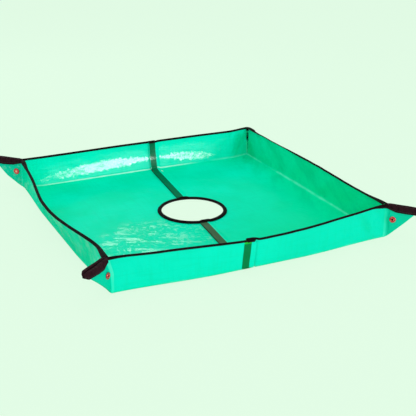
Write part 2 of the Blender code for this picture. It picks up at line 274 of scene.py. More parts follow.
@dataclass(frozen=True)
class Side:
    """One wall's surface. Along is +X or +Y, and outward points away from the tray.

    Attributes:
        name: The wall's name.
        outward: Direction away from the tray.
        lean: Degrees by which the wall leans out in its middle.
        fold: Length of the rounded fold on either side of the crease, in the middle.
        ripple: The waves in its sheet.
        toe: How far its foot stands out in the middle.
        toe_height: Height up to which the foot is moved.
        toe_taper: Distance from the corners over which the foot moves out.
        toe_power: How fast the move fades up the wall.
    """

    name: str
    outward: Vector
    lean: float
    fold: float
    ripple: Ripple
    toe: float = 0.0
    toe_height: float = 0.03
    toe_taper: float = 0.11
    toe_power: float = 2.0

    @property
    def along(self) -> Vector:
        """Direction along the wall."""
        return Vector((abs(self.outward.y), abs(self.outward.x), 0))

    def foot_shift(self, along: float) -> float:
        """How far the crease lies out from its straight line at a place along it."""
        return self.toe * smooth((SIZES.plane - abs(along)) / self.toe_taper)

    def bow(self, along: float) -> float:
        """Share of the lean at a place along the wall, 1 in the middle and 0 at the ends."""
        return (1 + math.cos(math.pi * along / SIZES.half_side)) / 2

    def frame_at(self, along: float) -> tuple[Vector, Vector]:
        """Directions up the wall and out of it, at a place along it."""
        lean = math.radians(self.lean) * self.bow(along)
        up = self.outward * math.sin(lean) + UP * math.cos(lean)
        return up, self.outward * math.cos(lean) - UP * math.sin(lean)

    def point(self, along: float, height: float, out: float = 0) -> Vector:
        """A point up the wall's slope, and a distance out from its middle surface."""
        up, normal = self.frame_at(along)
        fade = max(1 - height / self.toe_height, 0) ** self.toe_power
        foot = self.outward * SIZES.plane + self.along * along
        foot += self.outward * self.foot_shift(along) * fade
        spot = foot + up * height + normal * (out + self.ripple.out(along, height))
        return spot + slump(spot)

    def fold_reach(self, along: float) -> float:
        """Length of the rounded fold on either side of the crease."""
        return 0.004 + (self.fold - 0.004) * self.bow(along)

    def corner(self, along: float, inward: float) -> tuple[Vector, float]:
        """Where floor and wall would meet, a distance in from both, and its height up the wall."""
        lean = math.radians(self.lean) * self.bow(along)
        height = (inward * (1 - math.sin(lean)) + SIZES.sheet / 2) / math.cos(lean)
        return self.point(along, height, -inward), height

    def folded(self, along: float, row: Row, inward: float = 0) -> Vector:
        """A point on the sheet where it runs from the floor up the wall.

        Args:
            along: Distance from the wall's middle.
            row: Which stretch, and the share of it: floor, fold or wall.
            inward: Distance in from the middle surface.

        Returns:
            The point.
        """
        kind, share = row
        corner, height = self.corner(along, inward)
        reach = self.fold_reach(along)
        level = SIZES.sheet / 2 + inward
        near = corner - self.outward * reach
        near.z = level
        if kind == "floor":
            start = self.outward * (SIZES.plane - FLOOR_STRIP) + self.along * along + UP * level
            return start.lerp(near, share)
        if kind == "wall":
            start = height + reach
            return self.point(along, start + (SIZES.wall_height - start) * share, -inward)
        return rounded(near, corner, self.point(along, height + reach, -inward), share)

    def flat(self, along: float, row: Row) -> tuple[float, float]:
        """Where that point lies on the flat sheet."""
        kind, share = row
        reach = self.fold_reach(along)
        if kind == "floor":
            from_crease = -FLOOR_STRIP + (FLOOR_STRIP - reach) * share
        elif kind == "fold":
            from_crease = reach * (2 * share - 1)
        else:
            from_crease = reach + (SIZES.wall_height - reach) * share
        spot = self.outward * (SIZES.plane + from_crease) + self.along * along
        return spot.x, spot.y


FRONT = Side("front", Vector((0, -1, 0)), 21.0, 0.005, Ripple(0.0035, 0.17, 3.1, 0.0012),
             toe=0.014, toe_height=0.071, toe_taper=0.22, toe_power=1.0)
BACK = Side("back", Vector((0, 1, 0)), 3.0, 0.006, Ripple(0.0045, 0.15, 7.7, 0.0014),
            toe=-0.010, toe_height=0.055, toe_taper=0.05, toe_power=1.3)
LEFT = Side("left", Vector((-1, 0, 0)), 23.0, 0.006, Ripple(0.0050, 0.13, 1.4, 0.0008),
            toe=0.0085, toe_height=0.020, toe_taper=0.20)
RIGHT = Side("right", Vector((1, 0, 0)), 5.0, 0.009, Ripple(0.0050, 0.14, 5.2, 0.0038))


def deselect() -> None:
    """Clears the selection, so that an operator acts on its own piece only."""
    if bpy.context.mode != "OBJECT":
        bpy.ops.object.mode_set(mode="OBJECT")
    bpy.ops.object.select_all(action="DESELECT")


def take(piece: bpy.types.Object) -> None:
    """Selects one piece and makes it the active one."""
    deselect()
    piece.select_set(True)
    bpy.context.view_layer.objects.active = piece


def apply_modifiers(piece: bpy.types.Object) -> None:
    """Applies all of a piece's modifiers in their order."""
    take(piece)
    for modifier in list(piece.modifiers):
        bpy.ops.object.modifier_apply(modifier=modifier.name)


def smooth_faces(piece: bpy.types.Object, degrees: float = 40) -> None:
    """Shades a piece smooth, with hard edges where faces meet at more than an angle."""
    take(piece)
    bpy.ops.object.shade_smooth_by_angle(angle=math.radians(degrees))


def cloth_grid(
    name: str,
    columns: Sequence,
    rows: Sequence,
    place: Callable[..., Vector],
    flat: Callable[..., tuple[float, float]],
    thickness: float,
) -> bpy.types.Object:
    """A piece of cloth: a grid laid on a surface, with its flat place as UV map, then thickened.

    Args:
        name: The piece's name.
        columns: Values across the grid.
        rows: Values up the grid.
        place: Gives the point for a column and a row.
        flat: Gives the place on the flat sheet for a column and a row.
        thickness: The cloth's thickness.

    Returns:
        The finished mesh object.
    """
    deselect()
    across, up = len(columns) - 1, len(rows) - 1
    bpy.ops.mesh.primitive_grid_add(x_subdivisions=across, y_subdivisions=up, size=2, calc_uvs=False)
    piece = bpy.context.object
    piece.name = name
    piece.data.name = name
    mesh = piece.data
    spots = []
    for vertex in mesh.vertices:
        column = columns[round((vertex.co.x + 1) / 2 * across)]
        row = rows[round((vertex.co.y + 1) / 2 * up)]
        vertex.co = place(column, row)
        spots.append(flat(column, row))
    layer = mesh.uv_layers.new(name="Flat")
    for loop in mesh.loops:
        layer.data[loop.index].uv = spots[loop.vertex_index]
    solid = piece.modifiers.new("Thickness", "SOLIDIFY")
    solid.thickness = thickness
    solid.offset = 0
    solid.use_even_offset = True
    apply_modifiers(piece)
    bpy.ops.object.mode_set(mode="EDIT")
    bpy.ops.mesh.select_all(action="SELECT")
    bpy.ops.mesh.normals_make_consistent(inside=False)
    bpy.ops.object.mode_set(mode="OBJECT")
    smooth_faces(piece)
    return piece


def lap_columns() -> list[Row]:
    """Distances from the seam where the right half has its lap and its ramp."""
    ramp = spread(SIZES.lap / 2, SIZES.lap / 2 + SIZES.lap_ramp, 8)
    return [("near", value) for value in spread(-SIZES.lap / 2, 0, 3) + ramp]


def seam_columns(half: Half, far: int, under: float = 0.0) -> list[Row]:
    """Columns from the seam to the far end of one half.

    Args:
        half: Which half it is on.
        far: Number of columns past the lap.
        under: How much farther than the lap the left half reaches below the right one.

    Returns:
        Kind and value of each column.
    """
    near = lap_columns() if half is Half.RIGHT else [("near", SIZES.lap / 2 + under)]
    return near + [("far", share) for share in spread(0, 1, far)[1:]]


def seam_place(half: Half, column: Row, seam: float, far_end: float) -> tuple[float, float]:
    """Where a column lies along X, and how far it is raised.

    Args:
        half: Which half it is on.
        column: Kind and value, from seam_columns.
        seam: Where the seam's middle is.
        far_end: Where the half ends.

    Returns:
        The place along X and the rise.
    """
    kind, value = column
    last = seam + SIZES.lap / 2 + (SIZES.lap_ramp if half is Half.RIGHT else 0)
    if kind == "near":
        return seam + value, SIZES.lap_rise(value) if half is Half.RIGHT else 0
    return last + (far_end - last) * value, 0


@dataclass
class FloorHalf:
    """One half of the base, with its half of the round hole and the hole's binding."""

    half: Half
    columns: int = 44
    rows: int = 96
    swell: float = 0.0011

    @property
    def edge(self) -> float:
        """How far out this piece of the sheet reaches before the walls' pieces take over."""
        return SIZES.plane - FLOOR_STRIP

    @property
    def body(self) -> str:
        """The body that the half rides on."""
        return f"half_{self.half.value}"

    def rise(self, x: float, y: float) -> float:
        """How far the right half is raised by the lap, which is thinner beside the hole."""
        if self.half is Half.LEFT:
            return 0
        past_ring = math.hypot(x, y) - SIZES.hole_radius - SIZES.binding_depth
        return SIZES.lap_rise(x - SIZES.seam_x(y)) * (0.5 + 0.5 * smooth(past_ring / 0.010))

    def lift(self, x: float, y: float) -> float:
        """Height of the soft swells that the sheet keeps where nothing holds it down."""
        calm = smooth((self.edge - max(abs(x), abs(y))) / 0.04)
        calm *= smooth((math.hypot(x, y) - SIZES.hole_radius - 0.012) / 0.05)
        calm *= smooth((abs(x - SIZES.seam_x(y)) - 0.022) / 0.04)
        value = noise.noise(Vector((x / 0.075, y / 0.11, 4.0))) + 0.25
        return self.swell * calm * max(value, 0)

    def build_sheet(self) -> bpy.types.Object:
        """Lays the sheet and cuts its half of the hole.

        Returns:
            The sheet piece.
        """
        far_end = self.half.sign * self.edge

        def spot(column: Row, y: float) -> tuple[float, float]:
            return seam_place(self.half, column, SIZES.seam_x(y), far_end)

        def place(column: Row, y: float) -> Vector:
            x = spot(column, y)[0]
            return Vector((x, y, SIZES.sheet / 2 + self.rise(x, y) + self.lift(x, y)))

        rows = spread(-self.edge, self.edge, self.rows)
        piece = cloth_grid(f"base_{self.half.value}", seam_columns(self.half, self.columns), rows,
                           place, lambda column, y: (spot(column, y)[0], y), SIZES.sheet)
        deselect()
        bpy.ops.mesh.primitive_cylinder_add(
            vertices=120, radius=SIZES.hole_radius + SIZES.binding + SIZES.clearance, depth=0.03)
        cutter = bpy.context.object
        take(piece)
        cut = piece.modifiers.new("Hole", "BOOLEAN")
        cut.object = cutter
        cut.solver = "EXACT"
        apply_modifiers(piece)
        bpy.data.objects.remove(cutter, do_unlink=True)
        smooth_faces(piece)
        return piece

    def build_ring(self) -> bpy.types.Object:
        """Folds the binding over this half of the hole's edge.

        Returns:
            The binding piece.
        """
        slope = math.atan((SIZES.seam_back_x - SIZES.seam_front_x) / SIZES.base_side)
        ring = SIZES.hole_radius + SIZES.binding_depth
        middle = SIZES.seam_x(0)
        shift = middle if self.half is Half.LEFT else -middle
        lap = math.asin((SIZES.lap / 2 + shift) / ring)
        first = math.radians(-90 if self.half is Half.RIGHT else 90) - slope - lap
        turns = spread(first, first + math.pi + 2 * lap, 96)
        base = SIZES.sheet + SIZES.clearance + SIZES.binding / 2
        lip = SIZES.hole_radius + SIZES.binding / 2
        profile = [
            (lip - 0.0022, 0.0003), (lip - 0.0028, 0.0012), (lip - 0.0028, base + 0.0014),
            (lip - 0.0020, base + 0.0029), (lip - 0.0004, base + 0.0038), (lip + 0.0016, base + 0.0037),
            (lip + 0.0034, base + 0.0028), (lip + 0.0048, base + 0.0012), (ring, base),
        ]

        def place(turn: float, row: tuple[float, float]) -> Vector:
            radius, height = row
            x, y = radius * math.cos(turn), radius * math.sin(turn)
            from_seam = x - SIZES.seam_x(y)
            if self.half is Half.LEFT:
                under = smooth((from_seam + SIZES.lap / 2) / 0.004)
                return Vector((x, y, min(height, height * (1 - under) + (base + 0.0002) * under)))
            rise = self.rise(x, y) * smooth((from_seam + SIZES.lap / 2) / 0.006)
            return Vector((x, y, height + (rise + 0.0001 if height > 0.0005 else 0)))

        def flat(turn: float, row: tuple[float, float]) -> tuple[float, float]:
            return turn * SIZES.hole_radius - 1, profile.index(row) * 0.0009

        return cloth_grid(f"hole_trim_{self.half.value}", turns, profile, place, flat, SIZES.binding)

    def build(self) -> list[bpy.types.Object]:
        """Returns:
            The pieces.
        """
        sheet, ring = self.build_sheet(), self.build_ring()
        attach(sheet, self.body)
        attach(ring, self.body)
        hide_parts(f"floor_{self.half.value}")
        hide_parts(f"hole_binding_{self.half.value}")
        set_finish(sheet, "sheet")
        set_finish(ring, "binding")
        width = self.edge + SIZES.lap / 2
        length = 2 * self.edge
        cut_out = math.pi * (SIZES.hole_radius + SIZES.binding) ** 2 / 2
        width * length - cut_out
        return [sheet, ring]


@dataclass
class RimBinding:
    """Narrow woven tape folded over a rim and sewn through both its sides.

    Attributes:
        outer_depth: Its depth on the outside, in the wall's middle.
        inner_depth: Its depth on the inside.
        end_depth: Its depth on the outside at the ends, where it is doubled towards an ear.
        roll: How far its sides stand off the sheet in the middle.
        end_roll: How far they stand off at the ends.
        bare_from: Place along the wall past which its inside turns away behind the rim.
    """

    outer_depth: float = 0.0050
    inner_depth: float = 0.0050
    end_depth: float = 0.0080
    roll: float = 0.0
    end_roll: float = 0.0
    bare_from: float = 1.0

    def place(self, corner: tuple[float, float], along: float) -> tuple[float, float]:
        """A point of the folded tape's middle line at a place along the wall.

        Args:
            corner: A point of the profile.
            along: Distance from the wall's middle.

        Returns:
            Its distance out from the sheet's middle, and above the rim.
        """
        out, below = corner
        if below >= 0:
            return out, below
        from_end = SIZES.plane - abs(along)
        wide = 1 - smooth(from_end / 0.085)
        bulge = math.sin(math.pi * min(-below / 0.006, 1) ** 0.7)
        stand = (self.roll + (self.end_roll - self.roll) * wide) * bulge
        deeper = 1 + (self.end_depth / self.outer_depth - 1) * (1 - smooth(from_end / 0.040))
        shallower = 1 - 0.85 * smooth((along - self.bare_from) / 0.10)
        return out + math.copysign(stand, out), below * (deeper if out > 0 else shallower)

    def profile(self) -> list[tuple[float, float]]:
        """The folded tape's middle line: distances out from the sheet's middle, and above the rim."""
        space = SIZES.sheet / 2 + SIZES.clearance + SIZES.binding / 2
        inner, outer = self.inner_depth, self.outer_depth
        return [(-space - 0.0001, -inner), (-space, -inner * 0.82), (-space - 0.0003, -inner * 0.5),
                (-space - 0.0002, -0.0006), (-space * 0.7, 0.0004), (0.0, 0.0007), (space * 0.7, 0.0004),
                (space + 0.0002, -0.0006), (space + 0.0003, -outer * 0.5), (space, -outer * 0.82),
                (space + 0.0001, -outer)]


@dataclass
class WallPanel:
    """A standing wall, or one half of a wall that the seam crosses, with its rim's binding.

    Attributes:
        side: The wall's surface.
        half: The half that it is on, or None for a whole wall.
        binding: Its rim's binding.
        columns: Number of columns of the whole wall's grid.
        under: How much farther than the lap the left half reaches below the right one.
        zone_height: Height over which a bowed foot bends as the wall folds.
        zone_rise: How much higher it bends at the seam than at the corner.
    """

    side: Side
    half: Half | None
    binding: RimBinding = field(default_factory=RimBinding)
    columns: int = 76
    zone_height: float = 0.031
    zone_rise: float = 0.015
    under: float = 0.0035

    @property
    def name(self) -> str:
        """Name shared with the wall's solids."""
        return self.side.name if self.half is None else f"{self.side.name}_{self.half.value}"

    @property
    def floor_body(self) -> str:
        """The body of the base next to the wall."""
        return f"half_{self.side.name}" if self.half is None else f"half_{self.half.value}"

    @property
    def seam(self) -> float:
        """Where the seam's middle crosses the wall."""
        return SIZES.seam_x(SIZES.plane * self.side.outward.y)

    def end(self, row: Row) -> float:
        """How far along the piece reaches in a row, mitred on the floor and short of the corner above."""
        kind, share = row
        if kind == "floor":
            start = SIZES.plane - FLOOR_STRIP
            return start + (SIZES.plane - 0.004 - start) * share
        if kind == "fold":
            return SIZES.plane - 0.0004 - 0.0036 * (1 - share) ** 2
        return SIZES.wall_end(SIZES.wall_height * share) - 0.0018

    def spot(self, column: Row, row: Row) -> tuple[float, float]:
        """Place along the wall and rise of a column in a row."""
        if self.half is None:
            return column[1] * self.end(row), 0
        if self.half is Half.LEFT and column[0] == "near" and row[0] == "wall":
            under = self.under * (1 - smooth((row[1] - 0.84) / 0.08))
            column = "near", min(column[1], SIZES.lap / 2 + under)
        return seam_place(self.half, column, self.seam, self.half.sign * self.end(row))

    def column_list(self, under: float = 0.0) -> list[Row]:
        """Columns from end to end, or from the seam to the end."""
        if self.half is None:
            return [("share", share) for share in spread(-1, 1, self.columns)]
        return seam_columns(self.half, self.columns // 2, under)

    def build_sheet(self) -> bpy.types.Object:
        """Folds the sheet from the floor up to the rim.

        Returns:
            The sheet piece.
        """
        rows = [("floor", share) for share in (0, 0.5)]
        rows += [("fold", share) for share in spread(0, 1, 8)]
        rows += [("wall", share ** 1.35) for share in spread(0, 1, 18)[1:]]

        def place(column: Row, row: Row) -> Vector:
            along, rise = self.spot(column, row)
            return self.side.folded(along, row, rise)

        def flat(column: Row, row: Row) -> tuple[float, float]:
            return self.side.flat(self.spot(column, row)[0], row)

        return cloth_grid(f"side_{self.name}", self.column_list(self.under), rows, place, flat, SIZES.sheet)

    def build_binding(self) -> bpy.types.Object:
        """Folds the binding over the rim.

        Returns:
            The binding piece.
        """
        profile = self.binding.profile()
        rim = ("wall", 1.0)

        def place(column: Row, corner: tuple[float, float]) -> Vector:
            along, rise = self.spot(column, rim)
            out, above = self.binding.place(corner, along)
            return self.side.point(along, SIZES.wall_height + above, out - rise)

        def flat(column: Row, corner: tuple[float, float]) -> tuple[float, float]:
            return self.spot(column, rim)[0], profile.index(corner) * TAPE_STEP

        return cloth_grid(f"rim_{self.name}", self.column_list(), profile, place, flat, SIZES.binding)

    def fold_zone(self) -> tuple[Vector, Vector]:
        """Where the sheet starts to follow the wall, and where it follows it wholly.

        A wall whose foot is bowed out bends over more of its height, and higher up in its middle.

        Returns:
            The two points.
        """
        low = self.side.folded(0, ("fold", 0))
        if self.side.toe <= 0:
            return low, self.side.folded(0, ("fold", 1))
        if self.half is None:
            return low, self.side.point(0, self.side.toe_height)
        corner = self.side.outward * SIZES.plane + self.side.along * self.half.sign * SIZES.plane
        slant = self.zone_rise / (SIZES.plane - self.half.sign * self.seam)
        across = self.side.along * self.half.sign * slant
        return corner, corner + (UP + across) * self.zone_height / (1 + slant ** 2)

    def build(self) -> list[bpy.types.Object]:
        """Returns:
            The pieces.
        """
        sheet, rim = self.build_sheet(), self.build_binding()
        low, high = self.fold_zone()
        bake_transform(sheet, self.floor_body, f"wall_{self.name}", start=low, end=high)
        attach(rim, f"wall_{self.name}")
        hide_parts(f"wall_{self.name}")
        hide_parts(f"binding_{self.name}")
        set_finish(sheet, "sheet")
        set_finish(rim, "binding")
        length = 2 * SIZES.plane
        if self.half:
            length = SIZES.plane - self.half.sign * self.seam + SIZES.lap / 2
        self.floor_body.replace("half", "base")
        return [sheet, rim]


@dataclass(frozen=True)
class EarShape:
    """How a corner's ear hangs.

    Attributes:
        curl: How far its tip bends sideways.
        droop: How far its tip bends down.
        twist: Degrees by which it is turned off the diagonal.
        fall: Share of its reach by which it falls away from the rim.
        sag: How far its folded lower edge sags.
        stretch: How much farther than its solid it reaches.
        roll: How far the doubled binding stands out from the cloth.
        depth: How deep the doubled binding is.
        open_at: Height at which its slit stands open on the inside, or 0.
        closed: Share by which the two layers lie together along the rim.
        rim_depth: How deep the binding is on the front or back wall's layer at the corner line.
    """

    curl: float = 0.0
    droop: float = 0.0
    twist: float = 0.0
    fall: float = 0.0
    sag: float = 0.0
    stretch: float = 1.0
    roll: float = 0.0012
    depth: float = 0.0125
    open_at: float = 0.0
    closed: float = 1.0
    rim_depth: float = 0.0084


@dataclass
class EarLayer:
    """One of the two layers of a corner drawn together into an ear. It turns about the corner line of its
    wall.

    Attributes:
        side: The wall that carries it.
        end: Which end of the wall it is on, -1 or 1.
        corner: The corner's name.
        kind: "end" on the front and back walls, "side" on the left and right ones.
        shape: How it hangs.
        BEND: Length of the rounded bend on either side of the corner line.
        HELD_REACH: Distance out along the ear that its snap holds still.
        PAST_FOLD: How far the cloth reaches past the folded diagonal.
        LIP: Width over which the two layers close up at the diagonal.
    """

    side: Side
    end: int
    corner: str
    kind: str
    shape: EarShape

    BEND = 0.0018
    HELD_REACH = 0.023
    PAST_FOLD = 0.0022
    LIP = 0.0030

    def __post_init__(self) -> None:
        """Works out the corner line and the layer's directions."""
        tall = SIZES.wall_height
        outward, along = self.side.outward, self.side.along * self.end
        self.foot = outward * SIZES.plane + along * SIZES.wall_end(0)
        self.top = outward * SIZES.plane + along * SIZES.wall_end(tall) + UP * tall
        twist = math.radians(self.shape.twist)
        straight = math.radians(45) + SIZES.ear_splay
        turn = straight + (-twist if self.kind == "end" else twist)
        self.straight = along * math.cos(straight) + outward * math.sin(straight)
        self.reach = along * math.cos(turn) + outward * math.sin(turn)
        normal = self.direction(SIZES.snap_height).cross(self.top - self.foot).normalized()
        away = outward - along
        self.normal = normal if normal.dot(away) > 0 else -normal
        across = away.normalized()
        self.sideways = across if self.kind == "side" else -across

    @property
    def label(self) -> str:
        """Name shared with the layer's solids."""
        return f"{self.corner}_{self.kind}"

    def direction(self, height: float) -> Vector:
        """Direction out along the ear, which its twist turns more towards the rim."""
        return self.straight.lerp(self.reach, smooth((height - 0.008) / 0.050)).normalized()

    @property
    def wall_body(self) -> str:
        """The body of the wall that carries the layer."""
        if self.side.outward.x:
            return f"wall_{self.side.name}"
        return f"wall_{self.corner}"

    def point(self, reach: float, height: float, out: float = 0, out_limit: float = 0) -> Vector:
        """A point out along the ear and up its corner line.

        Args:
            reach: Distance out along the ear.
            height: Height up the corner line.
            out: Distance out from the layer's middle surface.
            out_limit: How near the ear's middle plane the layer may be drawn in.

        Returns:
            The point.
        """
        shape = self.shape
        share = height / SIZES.wall_height
        free = max((reach - self.HELD_REACH) / (SIZES.wall_height - self.HELD_REACH), 0)
        from_fold = max(height - reach, 0)
        belly = 0.0012 * smooth(free * 2) * smooth((height - 0.045) / 0.02) * smooth(from_fold / 0.02)
        held = self.drawn_in(reach, height, out_limit)
        longer = 1 + (shape.stretch - 1) * smooth(free * 3)
        spot = self.foot.lerp(self.top, share) + self.direction(height) * reach * longer
        if shape.open_at:
            window = 1 - smooth((abs(height - shape.open_at) - 0.003) / 0.009)
            belly += 0.0020 * window * (1 - smooth((reach - 0.010) / 0.006))
        spot += self.normal * (out + belly - held) + self.sideways * shape.curl * free ** 1.5
        fall = shape.fall * reach * smooth((share - 0.6) / 0.3)
        sag = shape.sag * smooth(reach / 0.04) * (1 - share)
        return spot - UP * (shape.droop * free ** 1.5 * share + fall + sag) + slump(spot)

    def bend(self, height: float) -> float:
        """Length of the rounded bend on either side of the corner line."""
        return min(self.BEND, 0.45 * height)

    def gap(self, reach: float, height: float) -> float:
        """Distance from the layer's middle to the ear's middle plane."""
        return SIZES.ear_gap(height) + reach * math.sin(SIZES.ear_splay)

    def drawn_in(self, reach: float, height: float, out_limit: float = 0) -> float:
        """How far the layer lies in from its solid, at the squeezed corner line and along the rim."""
        pinch = smooth(reach / 0.003) * (1 - smooth((reach - 0.006) / 0.005))
        if self.shape.open_at:
            pinch *= smooth((abs(height - self.shape.open_at) - 0.007) / 0.006)
        along_rim = smooth((reach - 0.004) / 0.010) * smooth((height - 0.050) / 0.012) * self.shape.closed
        gap = self.gap(reach, height)
        return max((gap - max(0.0005, out_limit)) * pinch, (gap - max(0.0013, out_limit)) * along_rim, 0)

    def cover(self, column: Row, height: float, out: float = 0) -> Vector:
        """A point on the cloth, from the wall round the corner line to the folded edge.

        Args:
            column: Which stretch, and the share of it: corner or ear.
            height: Height up the corner line.
            out: Distance out from the middle surface.

        Returns:
            The point.
        """
        kind, share = column
        bend = self.bend(height)
        if kind == "corner":
            near = self.side.point(self.end * (SIZES.wall_end(height) - bend), height, out)
            return rounded(near, self.point(0, height, out), self.point(bend, height, out), share)
        end = height + self.PAST_FOLD * smooth(height / 0.008)
        reach = bend + (end - bend) * share
        from_edge = end - reach
        reach *= 1 - 0.12 * share * smooth((height - 0.058) / 0.013)
        lip = max(1 - from_edge / self.LIP, 0) ** 2 * (1 - smooth((height - 0.058) / 0.006))
        still = self.gap(reach, height) - SIZES.sheet / 2 - 0.0001 - self.drawn_in(reach, height)
        return self.point(reach, height, out - max(still, 0) * lip)

    def flat(self, column: Row, height: float) -> tuple[float, float]:
        """Where that point lies on the flat sheet."""
        kind, share = column
        bend = self.bend(height)
        reach = bend * (2 * share - 1) if kind == "corner" else bend + (height - bend) * share
        outward, along = self.side.outward, self.side.along * self.end
        spot = outward * (SIZES.plane + height) + along * (SIZES.plane + reach)
        return spot.x, spot.y

    def build_sheet(self) -> bpy.types.Object:
        """Pinches the cloth of one layer.

        Returns:
            The sheet piece.
        """
        columns = [("corner", share) for share in spread(0, 1, 5)]
        columns += [("ear", share) for share in spread(0, 1, 30)[1:]]
        heights = [0.0012, 0.0025] + spread(0.005, SIZES.wall_height, 22)
        return cloth_grid(f"pinch_{self.label}", columns, heights, self.cover, self.flat, SIZES.sheet)

    def build_binding(self) -> bpy.types.Object:
        """Folds the binding over the layer's rim, rounded in at its tip.

        Returns:
            The binding piece.
        """
        profile = RimBinding(1.0, 1.0).profile()
        tall, bend, tip = SIZES.wall_height, self.BEND, SIZES.wall_height + 0.0012
        near, last, roll = 0.0014, self.shape.depth, self.shape.roll
        first = 0.0092 if self.kind == "side" else self.shape.rim_depth
        columns = [("corner", share) for share in spread(0, 1, 5)]
        columns += [("ear", reach) for reach in spread(bend, tip, 30)[1:]]

        def place(column: Row, corner: tuple[float, float]) -> Vector:
            kind, value = column
            out, below = corner
            along = value if kind == "ear" else 0
            depth = first + (last - first) * smooth(along / 0.026)
            hang = min(-below, 1) if below < -0.05 else 0
            height = tall + (below * depth if below < -0.05 else below)
            if kind == "corner":
                start = self.side.point(self.end * (SIZES.wall_end(tall) - bend), height, out)
                middle, far = self.point(0, height, out, near), self.point(bend, height, out, near)
                return rounded(start, middle, far, value)
            close = max((value - (tip - 0.009)) / 0.009, 0) ** 2
            stand = roll * smooth(along / 0.012) * (1 - close) * math.sin(math.pi * (0.25 + 0.6 * hang))
            out += stand if out > 0 else 0
            out *= 1 - 0.62 * smooth((value - tip + 0.0072) / 0.0040)
            inward = max(self.gap(value, tall) - 0.0007 - self.drawn_in(value, tall, near), 0) * close
            shorter = (tall - height) * 0.60 * close
            return self.point(value, height + shorter - 0.0026 * close, out - inward, near)

        def flat(column: Row, corner: tuple[float, float]) -> tuple[float, float]:
            kind, value = column
            reach = bend * (2 * value - 1) if kind == "corner" else value
            return SIZES.plane + reach, profile.index(corner) * TAPE_STEP

        return cloth_grid(f"rim_ear_{self.label}", columns, profile, place, flat, SIZES.binding)

    def build(self) -> list[bpy.types.Object]:
        """Returns:
            The pieces.
        """
        sheet, rim = self.build_sheet(), self.build_binding()
        body = f"ear_{self.label}"
        middle = self.foot.lerp(self.top, 0.5)
        start = middle - self.side.along * self.end * 0.0022
        for piece in (sheet, rim):
            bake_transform(piece, self.wall_body, body, start=start, end=middle + self.reach * 0.0030)
        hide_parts(body)
        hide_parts(f"binding_{body}")
        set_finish(sheet, "sheet")
        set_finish(rim, "binding")
        return [sheet, rim]


@dataclass
class SeamTape:
    """One strip of the closing tape, sewn to one half of the mat."""

    side: Side
    hook: bool

    @property
    def kind(self) -> str:
        """Name of the tape's kind."""
        return "hook" if self.hook else "loop"

    @property
    def half(self) -> Half:
        """The half that the tape is sewn to."""
        return Half.RIGHT if self.hook else Half.LEFT

    @property
    def depth(self) -> float:
        """Distance of the tape's middle in from the left half's middle."""
        first = SIZES.sheet / 2 + SIZES.clearance + SIZES.tape_thickness / 2
        return first + (SIZES.tape_thickness + SIZES.clearance if self.hook else 0)

    def build_strip(self, name: str, rows: list, place: Callable[..., Vector]) -> bpy.types.Object:
        """A strip of tape with thinner woven edges.

        Args:
            name: The piece's name.
            rows: Values along the strip.
            place: Gives the point for a place across, a row and a distance in.

        Returns:
            The strip.
        """
        half = SIZES.tape_width / 2
        columns = [-half, -half + 0.0009, -half + 0.0014] + spread(-half + 0.003, half - 0.003, 6)
        columns += [half - 0.0014, half - 0.0009, half]

        def lay(across: float, row: float) -> Vector:
            edge = abs(across) > half - 0.0012
            away = -0.00012 if self.hook else 0.00012
            return place(across, row, self.depth - (away if edge else 0))

        return cloth_grid(name, columns, rows, lay, lambda across, row: (across, row),
                          SIZES.tape_thickness * 0.74)

    def build(self) -> list[bpy.types.Object]:
        """Makes the strips on the floor and up the wall.

        Returns:
            The pieces.
        """
        pieces = []
        sign = self.side.outward.y
        seam = SIZES.seam_x(SIZES.plane * sign)
        start = sign * (SIZES.hole_radius + SIZES.binding_depth + 0.0115)
        crease = SIZES.plane + self.side.foot_shift(seam)
        far = sign * (crease - self.side.fold_reach(seam) - SIZES.lap_height - 0.001)
        low = self.side.fold_reach(seam) + SIZES.lap_height + 0.001

        def on_floor(across: float, y: float, depth: float) -> Vector:
            return Vector((SIZES.seam_x(y) + across, y, SIZES.sheet / 2 + depth))

        def on_wall(across: float, height: float, depth: float) -> Vector:
            return self.side.point(seam + across, height, -depth)

        half, panel = self.half.value, f"{self.side.name}_{self.half.value}"
        up_wall = spread(low, SIZES.wall_height - 0.0075, 8)
        for where, rows, place, body, held, under in (
            ("floor", spread(start, far, 24), on_floor, f"half_{half}", "laid", f"base_{half}"),
            ("wall", up_wall, on_wall, f"wall_{panel}", "hung", f"side_{panel}"),
        ):
            strip = self.build_strip(f"closing_{self.kind}_{where}_{self.side.name}", rows, place)
            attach(strip, body)
            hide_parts(f"{self.kind}_tape_{where}_{self.side.name}")
            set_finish(strip, f"{self.kind}_tape")
            length = abs(rows[-1] - rows[0])
            pieces.append(strip)
        return pieces


@dataclass
class RimTab:
    """The doubled end of the binding where the right half laps over the left one."""

    side: Side
    depth: float = 0.0044

    def build(self) -> list[bpy.types.Object]:
        """Returns:
            The piece.
        """
        seam = SIZES.seam_x(SIZES.plane * self.side.outward.y)
        inner, outer, over = -SIZES.lap_height - 0.0018, 0.0018, 0.0014
        middle = (inner + outer) / 2
        profile = [(inner, -self.depth), (inner, -self.depth * 0.8), (inner - 0.0002, -self.depth * 0.5),
                   (inner, 0.0), (inner + 0.0007, over - 0.0006), (middle, over),
                   (outer - 0.0007, over - 0.0006), (outer, 0.0), (outer + 0.0002, -self.depth * 0.5),
                   (outer, -self.depth * 0.8), (outer, -self.depth)]
        columns = spread(-0.0075, 0.0070, 10)

        def place(across: float, corner: tuple[float, float]) -> Vector:
            return self.side.point(seam + across, SIZES.wall_height + corner[1], corner[0])

        def flat(across: float, corner: tuple[float, float]) -> tuple[float, float]:
            return across, profile.index(corner) * TAPE_STEP

        tab = cloth_grid(f"rim_tab_{self.side.name}", columns, profile, place, flat, SIZES.binding)
        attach(tab, f"wall_{self.side.name}_right")
        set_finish(tab, "binding")
        return [tab]


